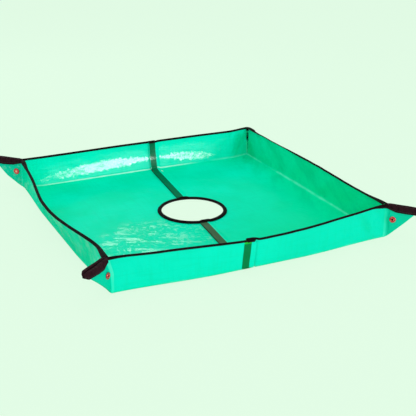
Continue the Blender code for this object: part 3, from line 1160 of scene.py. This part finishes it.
def pressed(name: str, profile: Sequence[tuple[float, float]], sides: int = 40) -> bpy.types.Object:
    """A turned metal piece: a disc whose top face is drawn out ring by ring, as a press does.

    Args:
        name: The piece's name.
        profile: Radius and height of each ring, from the lowest one on.
        sides: Number of sides round it.

    Returns:
        The closed piece, standing on its axis at the origin.
    """
    deselect()
    radius, height = profile[0]
    bpy.ops.mesh.primitive_circle_add(vertices=sides, radius=radius, fill_type="NGON",
                                      location=(0, 0, height))
    piece = bpy.context.object
    piece.name = name
    piece.data.name = name
    bpy.ops.object.transform_apply(location=True, rotation=False, scale=False)
    bpy.ops.object.mode_set(mode="EDIT")
    bpy.ops.mesh.select_all(action="SELECT")
    for wider, higher in profile[1:]:
        bpy.ops.mesh.extrude_region_move(TRANSFORM_OT_translate={"value": (0, 0, higher - height)})
        ratio = wider / radius
        bpy.ops.transform.resize(value=(ratio, ratio, 1), center_override=(0, 0, higher))
        radius, height = wider, higher
    bpy.ops.mesh.select_all(action="SELECT")
    bpy.ops.mesh.normals_make_consistent(inside=False)
    bpy.ops.object.mode_set(mode="OBJECT")
    mesh = piece.data
    layer = mesh.uv_layers.new(name="Flat")
    for loop in mesh.loops:
        corner = mesh.vertices[loop.vertex_index].co
        layer.data[loop.index].uv = math.hypot(corner.x, corner.y), corner.z
    smooth_faces(piece, 38)
    return piece


def set_at(piece: bpy.types.Object, centre: Vector, axis: Vector) -> None:
    """Turns an upright piece onto an axis, moves it to its place and applies both."""
    turn = UP.rotation_difference(axis).to_matrix().to_4x4()
    piece.matrix_world = Matrix.Translation(centre) @ turn
    take(piece)
    bpy.ops.object.transform_apply(location=True, rotation=True, scale=True)


@dataclass
class PressSnap:
    """A press snap: cap and socket on the side wall's layer, post and stud on the other.

    Attributes:
        corner: The corner's name.
        cap_layer: The layer that holds cap and socket.
        post_layer: The layer that holds post and stud.
        CAP, POST, STUD, SOCKET: Radius and height of each piece's rings, from the cloth on.
    """

    corner: str
    cap_layer: EarLayer
    post_layer: EarLayer

    CAP = ((0.0016, -0.0005), (0.0016, 0.0004), (0.0066, 0.0003), (0.0071, 0.0006), (0.00725, 0.0011),
           (0.0071, 0.0016), (0.0066, 0.0020), (0.0059, 0.0021), (0.0053, 0.0018), (0.0047, 0.0016),
           (0.0040, 0.0019), (0.0030, 0.0023), (0.0016, 0.0026), (0.0004, 0.0026))
    POST = ((0.0016, -0.0005), (0.0016, 0.0004), (0.0062, 0.0003), (0.0067, 0.0006), (0.0068, 0.0010),
            (0.0064, 0.0015), (0.0057, 0.0018), (0.0048, 0.0016), (0.0038, 0.0011), (0.0031, 0.0011),
            (0.0025, 0.0016), (0.0021, 0.0016), (0.0018, 0.0011), (0.0017, 0.0003))
    STUD = ((0.0044, 0.0003), (0.0049, 0.0004), (0.0050, 0.0007), (0.0046, 0.0009), (0.0026, 0.0009),
            (0.0019, 0.0011), (0.0018, 0.0017), (0.0021, 0.0021), (0.0022, 0.0025), (0.0020, 0.0028),
            (0.0014, 0.0029), (0.0004, 0.0029))
    SOCKET = ((0.0050, 0.0003), (0.0055, 0.0005), (0.0055, 0.0022), (0.0052, 0.0027), (0.0046, 0.0029),
              (0.0036, 0.0028), (0.0028, 0.0026), (0.0026, 0.0022), (0.0026, 0.0008))

    def build(self) -> list[bpy.types.Object]:
        """Returns:
            The pieces.
        """
        pieces = []
        half_sheet = SIZES.sheet / 2
        for kind, profile, layer, out in (
            ("cap", self.CAP, self.cap_layer, 1),
            ("socket", self.SOCKET, self.cap_layer, -1),
            ("post", self.POST, self.post_layer, 1),
            ("stud", self.STUD, self.post_layer, -1),
        ):
            low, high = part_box(f"snap_{kind}_{self.corner}")
            piece = pressed(f"press_{kind}_{self.corner}", profile)
            centre = layer.point(SIZES.snap_reach, SIZES.snap_height, out * half_sheet)
            set_at(piece, centre, layer.normal * out)
            off = ((low + high) / 2 - centre).length
            log.debug("%s stands %.1f mm off its solid", piece.name, off * 1000)
            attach(piece, f"ear_{layer.label}")
            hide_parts(f"snap_{kind}_{self.corner}")
            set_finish(piece, "snap")
            pieces.append(piece)
        return pieces


class Signal:
    """A value or colour at a node's output, with which one reckons as with a number."""

    def __init__(self, bench: "NodeBench", socket: bpy.types.NodeSocket) -> None:
        """Keeps an output.

        Args:
            bench: The nodes that it belongs to.
            socket: The output.
        """
        self.bench = bench
        self.socket = socket

    def __add__(self, other: "Input") -> "Signal":
        """The sum."""
        return self.bench.math("ADD", self, other)

    def __sub__(self, other: "Input") -> "Signal":
        """The difference."""
        return self.bench.math("SUBTRACT", self, other)

    def __rsub__(self, other: "Input") -> "Signal":
        """The difference from a plain number."""
        return self.bench.math("SUBTRACT", other, self)

    def __mul__(self, other: "Input") -> "Signal":
        """The product."""
        return self.bench.math("MULTIPLY", self, other)

    def __truediv__(self, other: "Input") -> "Signal":
        """The quotient."""
        return self.bench.math("DIVIDE", self, other)

    def __pow__(self, other: "Input") -> "Signal":
        """The power."""
        return self.bench.math("POWER", self, other)

    def __abs__(self) -> "Signal":
        """The value without its sign."""
        return self.bench.math("ABSOLUTE", self)

    def larger(self, other: "Input") -> "Signal":
        """The larger of the two."""
        return self.bench.math("MAXIMUM", self, other)

    def smaller(self, other: "Input") -> "Signal":
        """The smaller of the two."""
        return self.bench.math("MINIMUM", self, other)

    def ramp(self, low: float, high: float, start: float = 0.0, end: float = 1.0) -> "Signal":
        """The value mapped smoothly from low..high to start..end."""
        return self.bench.signal("ShaderNodeMapRange", interpolation_type="SMOOTHSTEP",
                                 inputs={0: self, 1: low, 2: high, 3: start, 4: end})


Input = Signal | float | tuple[float, ...]


class NodeBench:
    """Adds and joins the nodes of one tree."""

    def __init__(self, tree: bpy.types.NodeTree) -> None:
        """Starts on a tree.

        Args:
            tree: The nodes' tree.
        """
        self.tree = tree

    def join(self, target: bpy.types.NodeSocket, value: Input) -> None:
        """Links a signal to an input, or sets the input's value."""
        if isinstance(value, Signal):
            self.tree.links.new(value.socket, target)
        else:
            target.default_value = value

    def node(
        self, kind: str, inputs: dict[int | str, Input] | None = None, **settings: str
    ) -> bpy.types.Node:
        """Adds a node.

        Args:
            kind: The node's type.
            inputs: Values or signals for its inputs, by number or name.
            settings: Its properties by name.

        Returns:
            The node.
        """
        made = self.tree.nodes.new(kind)
        for key, value in settings.items():
            setattr(made, key, value)
        for key, value in (inputs or {}).items():
            self.join(made.inputs[key], value)
        return made

    def signal(self, kind: str, output: int | str = 0, **settings: object) -> Signal:
        """Adds a node and takes one of its outputs."""
        return Signal(self, self.node(kind, **settings).outputs[output])

    def flat_place(self) -> tuple[Signal, Signal, Signal]:
        """The place on the flat sheet in metres, and its two parts."""
        place = self.signal("ShaderNodeUVMap", uv_map="Flat")
        split = self.node("ShaderNodeSeparateXYZ", inputs={0: place})
        return place, Signal(self, split.outputs[0]), Signal(self, split.outputs[1])

    def math(self, operation: str, first: Input, second: Input = 0.0) -> Signal:
        """The result of a Math node on two values."""
        return self.signal("ShaderNodeMath", operation=operation, inputs={0: first, 1: second})

    def mix(self, share: Input, first: Input, second: Input) -> Signal:
        """Two colours mixed by a share."""
        return self.signal("ShaderNodeMix", 2, data_type="RGBA", inputs={0: share, 6: first, 7: second})

    def scaled(self, place: Signal, factors: tuple[float, float, float]) -> Signal:
        """A place with its parts multiplied."""
        return self.signal("ShaderNodeVectorMath", operation="MULTIPLY", inputs={0: place, 1: factors})

    def turned(self, place: Signal, degrees: float) -> Signal:
        """A place turned about the sheet's middle."""
        return self.signal("ShaderNodeVectorRotate", inputs={"Vector": place, "Angle": math.radians(degrees)})

    def noise(self, place: Signal, scale: float, detail: float = 2.0, roughness: float = 0.5) -> Signal:
        """A noise pattern."""
        return self.signal("ShaderNodeTexNoise", inputs={"Vector": place, "Scale": scale, "Detail": detail,
                                                         "Roughness": roughness})

    def wave(self, place: Signal, direction: str, width: float) -> Signal:
        """A band pattern along X or Y that repeats at a width in metres."""
        return self.signal("ShaderNodeTexWave", 1, bands_direction=direction,
                           inputs={"Vector": place, "Scale": math.pi / (10 * width), "Distortion": 0.0})

    def bump(self, height: Signal, distance: float, strength: float, normal: Signal | None = None) -> Signal:
        """A bump from a height pattern, on top of an earlier one."""
        inputs = {"Height": height, "Distance": distance, "Strength": strength}
        if normal is not None:
            inputs["Normal"] = normal
        return self.signal("ShaderNodeBump", inputs=inputs)


class MaterialBench(NodeBench):
    """The nodes of one material."""

    def __init__(self, name: str) -> None:
        """Starts a material with its Principled shader.

        Args:
            name: The material's name.
        """
        self.material = bpy.data.materials.new(name)
        self.material.use_nodes = True
        super().__init__(self.material.node_tree)
        self.shader = self.tree.nodes["Principled BSDF"]

    def feed(self, **values: Input) -> None:
        """Joins signals, or sets values, on the shader's inputs, by name with _ for a space."""
        for key, value in values.items():
            self.join(self.shader.inputs[key.replace("_", " ")], value)


@dataclass(frozen=True)
class CoatedSheet:
    """Woven polyethylene with a glossy coating, and the closing tape showing through it."""

    colour: Colour = (0.0, 0.83, 0.54, 1)
    deep: Colour = (0.0, 0.77, 0.46, 1)
    # paler along the folds: partly whitening of the folded coating, partly a painted highlight along the
    # creases
    crease: Colour = (0.12, 0.92, 0.68, 1)
    # painted highlight: the pale colour of the thin line along the back fold
    painted_fold_highlight: Colour = (0.56, 0.98, 0.84, 1)
    thread: Colour = (0.0, 0.64, 0.33, 1)
    # painted shade: darker and greener towards the front right and up the right wall
    painted_shade_green: Colour = (0.0, 0.75, 0.35, 1)
    bluer: Colour = (0.0, 0.83, 0.63, 1)
    # painted light: the back wall lighter than the rest
    painted_light_back: Colour = (0.0, 0.97, 0.72, 1)
    # painted shade: the darker colour of the ears and of the front wall's right part
    pinched: Colour = (0.0, 0.60, 0.40, 1)
    tape_back: Colour = (0.0, 0.115, 0.038, 1)
    tape_front: Colour = (0.055, 0.075, 0.035, 1)
    tape_wall: Colour = (0.0, 0.163, 0.026, 1)
    tape_end: Colour = (0.010, 0.60, 0.015, 1)
    weave: float = 0.0026

    def tape_mask(self, u: Signal, v: Signal) -> Signal:
        """Where the closing tape lies under the sheet."""
        half, edge = SIZES.half_side, SIZES.tape_width / 2
        slope = (SIZES.seam_back_x - SIZES.seam_front_x) / SIZES.base_side
        seam = v.larger(-half).smaller(half) * slope + SIZES.seam_x(0)
        hem = abs(v).ramp(half - 0.004, half, 0.0013, 0.0) + v.ramp(-half - 0.004, -half, 0.0060, 0.0)
        return abs(u - seam + hem).ramp(edge + 0.0001, edge + 0.0006, 1.0, 0.0)

    def crease_mask(self, bench: NodeBench, uv: Signal, u: Signal, v: Signal) -> Signal:
        """Where the sheet has been folded."""
        from_line = abs(abs(u) - SIZES.plane).smaller(abs(abs(v) - SIZES.plane))
        wander = bench.noise(uv, 35.0, 3.0) * 0.0050
        return (from_line - wander).ramp(-0.0022, 0.0036, 1.0, 0.0)

    def painted_back_highlight(self, bench: NodeBench, uv: Signal, u: Signal, v: Signal) -> Signal:
        """The thin painted highlight line along the back fold."""
        above = abs(v - (SIZES.plane + 0.0008))
        wander = bench.noise(uv, 40.0, 3.0) * 0.0030
        line = (above - wander).ramp(-0.0007, 0.0012, 1.0, 0.0)
        return line * abs(u + 0.07).ramp(0.15, 0.23, 1.0, 0.0)

    def fold_gloss(self, bench: NodeBench, uv: Signal, u: Signal, v: Signal) -> Signal:
        """Coating polished where the sheet is drawn tight above the back fold, in two ragged swells."""
        streaks = bench.scaled(uv, (190.0, 45.0, 1.0))
        ragged = (bench.noise(streaks, 1.0, 4.0, 0.6) - 0.5) * 0.024
        middle = abs(u + 0.03) ** 2.0 * -0.28 + 0.0285
        from_middle = abs(v - SIZES.plane - middle)
        first = abs(u + 0.115).ramp(0.02, 0.16, 0.0080, 0.0)
        second = abs(u - 0.135).ramp(0.02, 0.085, 0.0062, 0.0)
        ends = abs(u + 0.035).ramp(0.21, 0.285, 0.0036, -0.0080)
        inside = first.larger(second) + ends - from_middle + ragged
        grain = bench.noise(uv, 480.0, 2.0).ramp(0.30, 0.60, 0.45, 1.0)
        return inside.ramp(-0.0005, 0.0018) * grain * 0.60

    def scuffs(self, bench: NodeBench, uv: Signal, u: Signal, v: Signal) -> Signal:
        """Blocky smooth patches in the coating, on the front left of the base and on the left wall."""
        cells = bench.signal("ShaderNodeVectorMath", operation="SNAP",
                             inputs={0: bench.turned(uv, 26), 1: (0.0075, 0.0065, 1.0)})
        wide = bench.scaled(cells, (0.42, 1.0, 1.0))
        mixed = bench.noise(wide, 38.0, 4.0, 0.75) + bench.noise(uv, 230.0) * 0.20
        dots = bench.noise(uv, 170.0, 2.0).ramp(0.61, 0.66)
        blocks = mixed.ramp(0.63, 0.67, 0.0, 0.8).larger(dots)
        from_spot = ((u + 0.135) / 0.15) ** 2.0 + ((v + 0.145) / 0.15) ** 2.0
        near = from_spot.ramp(0.35, 1.05, 1.0, 0.0)
        fold = -SIZES.plane
        wall = u.ramp(fold - 0.012, fold - 0.004, 0.6, 0.0).smaller(v.ramp(fold - 0.001, fold + 0.006))
        return blocks * near.larger(wall) * 0.62

    def cloth_tone(self, bench: NodeBench, uv: Signal, u: Signal, v: Signal) -> Signal:
        """Colour of the sheet: tone that differs at random, faintly streaked and bluer on the front and back
        walls, with painted shade that makes it darker and greener towards the front right and up the right
        wall, mottled in the right wall's folds and darker on the ears and on the front wall's right part, and
        with painted light on the back wall.
        """
        plane = SIZES.plane
        tone = bench.mix(bench.noise(uv, 9.0, 3.0).ramp(0.35, 0.65), self.deep, self.colour)
        # Painted shade: darker and greener towards the front right of the base and up the right wall.
        near_right = u - v.larger(-plane) * 0.8
        side = near_right.ramp(0.0, 0.42) * abs(v).ramp(plane - 0.010, plane + 0.002, 1.0, 0.0)
        tone = bench.mix(side * 0.75, tone, self.painted_shade_green)
        tone = bench.mix(abs(v).ramp(plane - 0.004, plane + 0.010, 0.0, 0.8), tone, self.bluer)
        # Painted light: the back wall made lighter than the rest of the sheet.
        tone = bench.mix(v.ramp(plane - 0.004, plane + 0.010, 0.0, 0.6), tone, self.painted_light_back)
        # Painted shade: mottled darker patches along slack diagonal folds near and on the right wall, in the
        # thread colour.
        slack = bench.scaled(bench.turned(uv, -58), (9.0, 30.0, 1.0))
        painted_fold_shade = bench.noise(slack, 1.0, 3.0).ramp(0.42, 0.66) * u.ramp(plane - 0.11, plane, 0.0, 0.75)
        tone = bench.mix(painted_fold_shade, tone, self.thread)
        # Painted shade: the ears darker, the front left ear most, and the right part of the front wall
        # darker.
        in_corner = abs(u).smaller(abs(v)).ramp(plane + 0.001, plane + 0.009, 0.0, 0.75)
        front_left = (u + v).ramp(-2 * plane - 0.004, -2 * plane, 1.33, 1.0)
        front_right = u.ramp(-0.04, 0.10, 0.0, 0.32) * v.ramp(-plane - 0.003, -plane, 1.0, 0.0)
        tone = bench.mix((in_corner * front_left).larger(front_right), tone, self.pinched)
        for stretch in ((14.0, 150.0, 1.0), (150.0, 14.0, 1.0)):
            streaks = bench.noise(bench.scaled(uv, stretch), 1.0).ramp(0.45, 0.75, 0.0, 0.15)
            tone = bench.mix(streaks, tone, self.thread)
        return tone

    def tape_tone(self, bench: NodeBench, uv: Signal, v: Signal, cloth: Signal) -> Signal:
        """Colour of the sheet where the closing tape shows through it."""
        plane = SIZES.plane
        on_front = v.ramp(-0.07, -0.06, 1.0, 0.0)
        on_wall = abs(v).ramp(plane - 0.001, plane + 0.001)
        tone = bench.mix(on_front, self.tape_back, self.tape_front)
        tone = bench.mix(on_wall * on_front, tone, self.tape_wall)
        tone = bench.mix(v.ramp(-plane - 0.0632, -plane - 0.0618, 1.0, 0.0), tone, self.tape_end)
        return bench.mix(bench.noise(uv, 900.0, 2.0).ramp(0.3, 0.8, 0.0, 0.10), tone, cloth)

    def material(self) -> bpy.types.Material:
        """Builds the finish.

        Returns:
            The material.
        """
        bench = MaterialBench("coated_sheet")
        uv, u, v = bench.flat_place()
        cloth = self.cloth_tone(bench, uv, u, v)
        # Paler along the folds: partly whitening of the folded coating, partly a painted highlight along the
        # creases.
        wear_and_highlight = self.crease_mask(bench, uv, u, v) * bench.noise(uv, 18.0).ramp(0.35, 0.70, 0.0, 0.5)
        tone = bench.mix(wear_and_highlight, cloth, self.crease)
        # Painted highlight: a thin pale line along the back fold.
        tone = bench.mix(self.painted_back_highlight(bench, uv, u, v) * 0.8, tone, self.painted_fold_highlight)
        tape = self.tape_mask(u, v)
        tone = bench.mix(tape * 0.97, tone, self.tape_tone(bench, uv, v, cloth))
        folds = bench.noise(uv, 16.0, 3.0, 0.55) + bench.noise(uv, 55.0, 2.0) * 0.35
        weave = bench.wave(uv, "X", self.weave) * bench.wave(uv, "Y", self.weave)
        normal = bench.bump(weave, 0.00012, 0.35, bench.bump(folds, 0.006, 0.35))
        rough = bench.noise(uv, 26.0, 3.0).ramp(0.3, 0.7, 0.30, 0.44)
        gloss = self.fold_gloss(bench, uv, u, v) + self.scuffs(bench, uv, u, v)
        gloss = gloss * (1.0 - tape * 0.65) + 0.035
        bench.feed(Base_Color=tone, Roughness=rough, Normal=normal, Specular_IOR_Level=0.0,
                   Coat_Weight=gloss, Coat_Roughness=0.20, Coat_IOR=2.4, Coat_Normal=normal)
        return bench.material


@dataclass(frozen=True)
class BindingTape:
    """Near-black woven tape with a row of stitches along each edge."""

    dark: Colour = (0.0030, 0.0010, 0.0016, 1)
    warm: Colour = (0.030, 0.0070, 0.0125, 1)
    thread: Colour = (0.050, 0.020, 0.027, 1)

    def material(self) -> bpy.types.Material:
        """Builds the finish.

        Returns:
            The material.
        """
        bench = MaterialBench("binding_tape")
        uv, u, v = bench.flat_place()
        on_ear = u.ramp(SIZES.plane - 0.004, SIZES.plane + 0.006, 0.15, 1.0)
        warmth = bench.noise(uv, 260.0, 3.0).ramp(0.32, 0.62, 0.35, 1.0) * on_ear
        tone = bench.mix(warmth, self.dark, self.warm)
        tone = bench.mix(abs(v - 0.0060).ramp(0.0040, 0.0054, 0.0, 0.75), tone, self.dark)
        rows = [abs(v - place).ramp(0.00025, 0.00045, 1.0, 0.0) for place in (0.0014, 0.0106)]
        dash = bench.math("PINGPONG", u, 0.0016).ramp(0.0005, 0.0007)
        stitches = rows[0].larger(rows[1]) * dash
        tone = bench.mix(stitches, tone, self.thread)
        ribs = bench.bump(bench.wave(uv, "X", 0.0008), 0.0001, 0.6)
        normal = bench.bump(stitches, 0.0003, 0.8, ribs)
        rough = bench.noise(uv, 200.0).ramp(0.3, 0.7, 0.62, 0.85)
        bench.feed(Base_Color=tone, Roughness=rough, Normal=normal, Specular_IOR_Level=0.06)
        return bench.material


@dataclass(frozen=True)
class PileTape:
    """Hook or loop tape: a fine pile between two woven edges."""

    name: str
    low: Colour
    high: Colour
    grain: float

    def material(self) -> bpy.types.Material:
        """Builds the finish.

        Returns:
            The material.
        """
        bench = MaterialBench(self.name)
        uv, across, _ = bench.flat_place()
        cells = bench.signal("ShaderNodeTexVoronoi", inputs={"Vector": uv, "Scale": self.grain})
        tone = bench.mix(cells.ramp(0.1, 0.6), self.high, self.low)
        tone = bench.mix(bench.noise(uv, 120.0).ramp(0.4, 0.7, 0.0, 0.4), tone, self.low)
        inside = abs(across).ramp(0.0060, 0.0063, 1.0, 0.0)
        normal = bench.bump(cells * inside, 0.0005, 0.8)
        rough = cells.ramp(0.0, 0.7, 0.75, 0.95)
        bench.feed(Base_Color=tone, Roughness=rough, Normal=normal, Specular_IOR_Level=0.2, Sheen_Weight=0.15)
        return bench.material


@dataclass(frozen=True)
class PlatedSnap:
    """Copper-red plating on pressed brass, scuffed by handling, with a painted highlight on the top of each
    dome.
    """

    bright: Colour = (0.62, 0.035, 0.060, 1)
    # pale colour of the painted highlight on the domes and of rubbed plating
    wear_and_highlight: Colour = (0.95, 0.42, 0.29, 1)
    shadow: Colour = (0.012, 0.002, 0.003, 1)

    def material(self) -> bpy.types.Material:
        """Builds the finish.

        Returns:
            The material.
        """
        bench = MaterialBench("plated_snap")
        place = bench.signal("ShaderNodeTexCoord", "Object")
        _, radius, height = bench.flat_place()
        # Painted highlight on the top of each dome, with scattered scuffs of rubbed plating.
        rubbed_and_highlight = height.ramp(0.0017, 0.0025) * radius.ramp(0.0012, 0.0042, 1.0, 0.0)
        rubbed_and_highlight = rubbed_and_highlight.larger(bench.noise(place, 420.0, 3.0).ramp(0.46, 0.72, 0.0, 0.7))
        tone = bench.mix(rubbed_and_highlight, self.bright, self.wear_and_highlight)
        hole = radius.ramp(0.0018, 0.0024, 1.0, 0.0) * height.ramp(0.0009, 0.0014, 1.0, 0.0)
        skirt = radius.ramp(0.0060, 0.0066) * height.ramp(0.0007, 0.0011, 1.0, 0.0)
        for dark in (hole, skirt):
            tone = bench.mix(dark, tone, self.shadow)
        rough = bench.noise(place, 900.0, 2.0).ramp(0.3, 0.7, 0.22, 0.38)
        normal = bench.bump(bench.noise(place, 1500.0), 0.00004, 0.5)
        bench.feed(Base_Color=tone, Roughness=rough, Normal=normal, Metallic=1.0)
        return bench.material


def paint(piece: bpy.types.Object, material: bpy.types.Material) -> None:
    """Gives a piece one material all over."""
    piece.data.materials.clear()
    piece.data.materials.append(material)


@dataclass
class Studio:
    """Pale floor, soft lamps and the camera at the photograph's angle."""

    azimuth: float = -26.19
    elevation: float = 21.9
    distance: float = 2.003
    roll: float = 0.52
    target: Vector = field(default_factory=lambda: Vector((0.0392, 0.0, 0.0)))
    lens: float = 76.5
    mint: Colour = (0.775, 0.985, 0.802, 1)

    def camera(self) -> None:
        """Sets the camera."""
        a, e = math.radians(self.azimuth), math.radians(self.elevation)
        back = Vector((math.sin(a) * math.cos(e), -math.cos(a) * math.cos(e), math.sin(e)))
        data = bpy.data.cameras.new("camera")
        data.lens = self.lens
        data.sensor_width = 36.0
        data.clip_start, data.clip_end = 0.05, 60.0
        camera = bpy.data.objects.new("camera", data)
        bpy.context.scene.collection.objects.link(camera)
        turn = (-back).to_track_quat("-Z", "Y").to_matrix().to_4x4()
        lean = Matrix.Rotation(math.radians(self.roll), 4, "Z")
        camera.matrix_world = Matrix.Translation(self.target + back * self.distance) @ turn @ lean
        bpy.context.scene.camera = camera

    def seen(self, bench: NodeBench) -> Signal:
        """1 for the rays that show a surface in the picture, also by way of a shiny or clear piece."""
        rays = bench.node("ShaderNodeLightPath")
        camera, glossy, through = (Signal(bench, rays.outputs[f"Is {kind} Ray"])
                                   for kind in ("Camera", "Glossy", "Transmission"))
        return camera.larger(glossy.larger(through))

    def floor(self) -> None:
        """Lays a wide pale floor that keeps the mat's shadow."""
        deselect()
        bpy.ops.mesh.primitive_grid_add(x_subdivisions=8, y_subdivisions=8, size=24, location=(0, 0, 0))
        floor = bpy.context.object
        floor.name = "studio_floor"
        for vertex in floor.data.vertices:
            vertex.co.z = -0.0004
        bench = MaterialBench("studio_floor")
        plain = bench.signal("ShaderNodeEmission", inputs={"Color": self.mint, "Strength": 1.0})
        matte = bench.signal("ShaderNodeBsdfDiffuse", inputs={"Color": (0.70, 0.92, 0.73, 1)})
        share = self.seen(bench) * 0.90
        blend = bench.signal("ShaderNodeMixShader", inputs={0: share, 1: matte, 2: plain})
        bench.join(bench.tree.nodes["Material Output"].inputs[0], blend)
        bench.tree.nodes.remove(bench.shader)
        paint(floor, bench.material)

    def world(self) -> None:
        """Sets an even pale surround, seen as the backdrop."""
        world = bpy.data.worlds.new("surround")
        bpy.context.scene.world = world
        world.use_nodes = True
        bench = NodeBench(world.node_tree)
        bench.tree.nodes.clear()
        light = bench.signal("ShaderNodeBackground", inputs={0: (0.97, 1.0, 0.94, 1), 1: 0.75})
        backdrop = bench.signal("ShaderNodeBackground", inputs={0: self.mint, 1: 1.0})
        mixed = bench.signal("ShaderNodeMixShader", inputs={0: self.seen(bench), 1: light, 2: backdrop})
        bench.node("ShaderNodeOutputWorld", inputs={0: mixed})

    def lamp(self, name: str, place: Vector, aim: Vector, size: tuple[float, float], power: float) -> None:
        """Hangs one soft rectangular lamp.

        Args:
            name: The lamp's name.
            place: Where it hangs.
            aim: What it faces.
            size: Its width and height.
            power: Its power in watts.
        """
        data = bpy.data.lights.new(name, "AREA")
        data.shape = "RECTANGLE"
        data.size, data.size_y = size
        data.energy = power
        lamp = bpy.data.objects.new(name, data)
        bpy.context.scene.collection.objects.link(lamp)
        turn = (aim - place).to_track_quat("-Z", "Y").to_matrix().to_4x4()
        lamp.matrix_world = Matrix.Translation(place) @ turn

    def lamps(self) -> None:
        """Hangs the soft lamps."""
        self.lamp("top_box", Vector((-0.2, 0.1, 2.6)), Vector((0, 0, 0)), (1.8, 1.8), 12.0)
        self.lamp("fold_box", Vector((1.20, -3.15, 0.50)), Vector((-0.05, 0.30, 0.02)), (1.70, 0.55), 34.0)
        self.lamp("back_box", Vector((0.40, 1.65, 0.92)), Vector((-0.15, -0.15, 0)), (0.40, 0.30), 1.1)
        self.lamp("rake_box", Vector((-0.90, 1.90, 0.90)), Vector((0.28, 0.0, 0.03)), (0.50, 0.50), 5.0)

    def build(self) -> None:
        """Sets up the whole studio."""
        self.camera()
        self.floor()
        self.world()
        self.lamps()
        bpy.context.scene.view_settings.view_transform = "Standard"


def main() -> None:
    """Builds the mat piece by piece, dresses it and sets up the studio."""
    logging.basicConfig(level=logging.INFO, format="%(name)s: %(message)s")
    looks = {
        "sheet": CoatedSheet(),
        "binding": BindingTape(),
        "hook_tape": PileTape("hook_tape", (0.006, 0.022, 0.010, 1), (0.040, 0.120, 0.060, 1), 900.0),
        "loop_tape": PileTape("loop_tape", (0.012, 0.040, 0.020, 1), (0.050, 0.140, 0.075, 1), 1600.0),
        "snap": PlatedSnap(),
    }
    finishes = {slot: look.material() for slot, look in looks.items()}
    made: list[bpy.types.Object] = []
    for half in Half:
        made += FloorHalf(half).build()
    rim_left = RimBinding(0.0060, 0.0050, 0.0100, roll=0.0018, end_roll=0.0048)
    rim_right = RimBinding(0.0050, 0.0030, 0.0090, roll=0.0002, end_roll=0.0056, bare_from=0.05)
    made += WallPanel(LEFT, None, rim_left).build()
    made += WallPanel(RIGHT, None, rim_right).build()
    for side in (FRONT, BACK):
        outer_depth = 0.0034 if side is FRONT else 0.0043
        for half in Half:
            end_depth = 0.0052 if side is FRONT and half is Half.LEFT else 0.0084
            made += WallPanel(side, half, RimBinding(outer_depth, 0.0040, end_depth)).build()
        for hook in (False, True):
            made += SeamTape(side, hook).build()
        made += RimTab(side).build()
    shapes = {
        "front_left": EarShape(curl=0.007, droop=0.002, twist=10.0, roll=0.0060, depth=0.0140,
                               closed=0.6, rim_depth=0.0052),
        "front_right": EarShape(droop=-0.001, roll=0.0026, depth=0.0135),
        "back_left": EarShape(droop=0.001, sag=0.016, stretch=1.16, roll=0.0026),
        "back_right": EarShape(fall=0.303, droop=0.004, roll=0.0, depth=0.0070, open_at=0.048),
    }
    for corner, shape in shapes.items():
        end_side = FRONT if corner.startswith("front") else BACK
        wide_side = LEFT if corner.endswith("left") else RIGHT
        post = EarLayer(end_side, int(wide_side.outward.x), corner, "end", shape)
        cap = EarLayer(wide_side, int(end_side.outward.y), corner, "side", shape)
        made += post.build() + cap.build() + PressSnap(corner, cap, post).build()
    for piece in made:
        paint(piece, finishes[piece["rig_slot"]])
        log.info("%s: %d faces, on %s", piece.name, len(piece.data.polygons), body_of(piece))
    Studio().build()


if __name__ == "__main__":
    main()
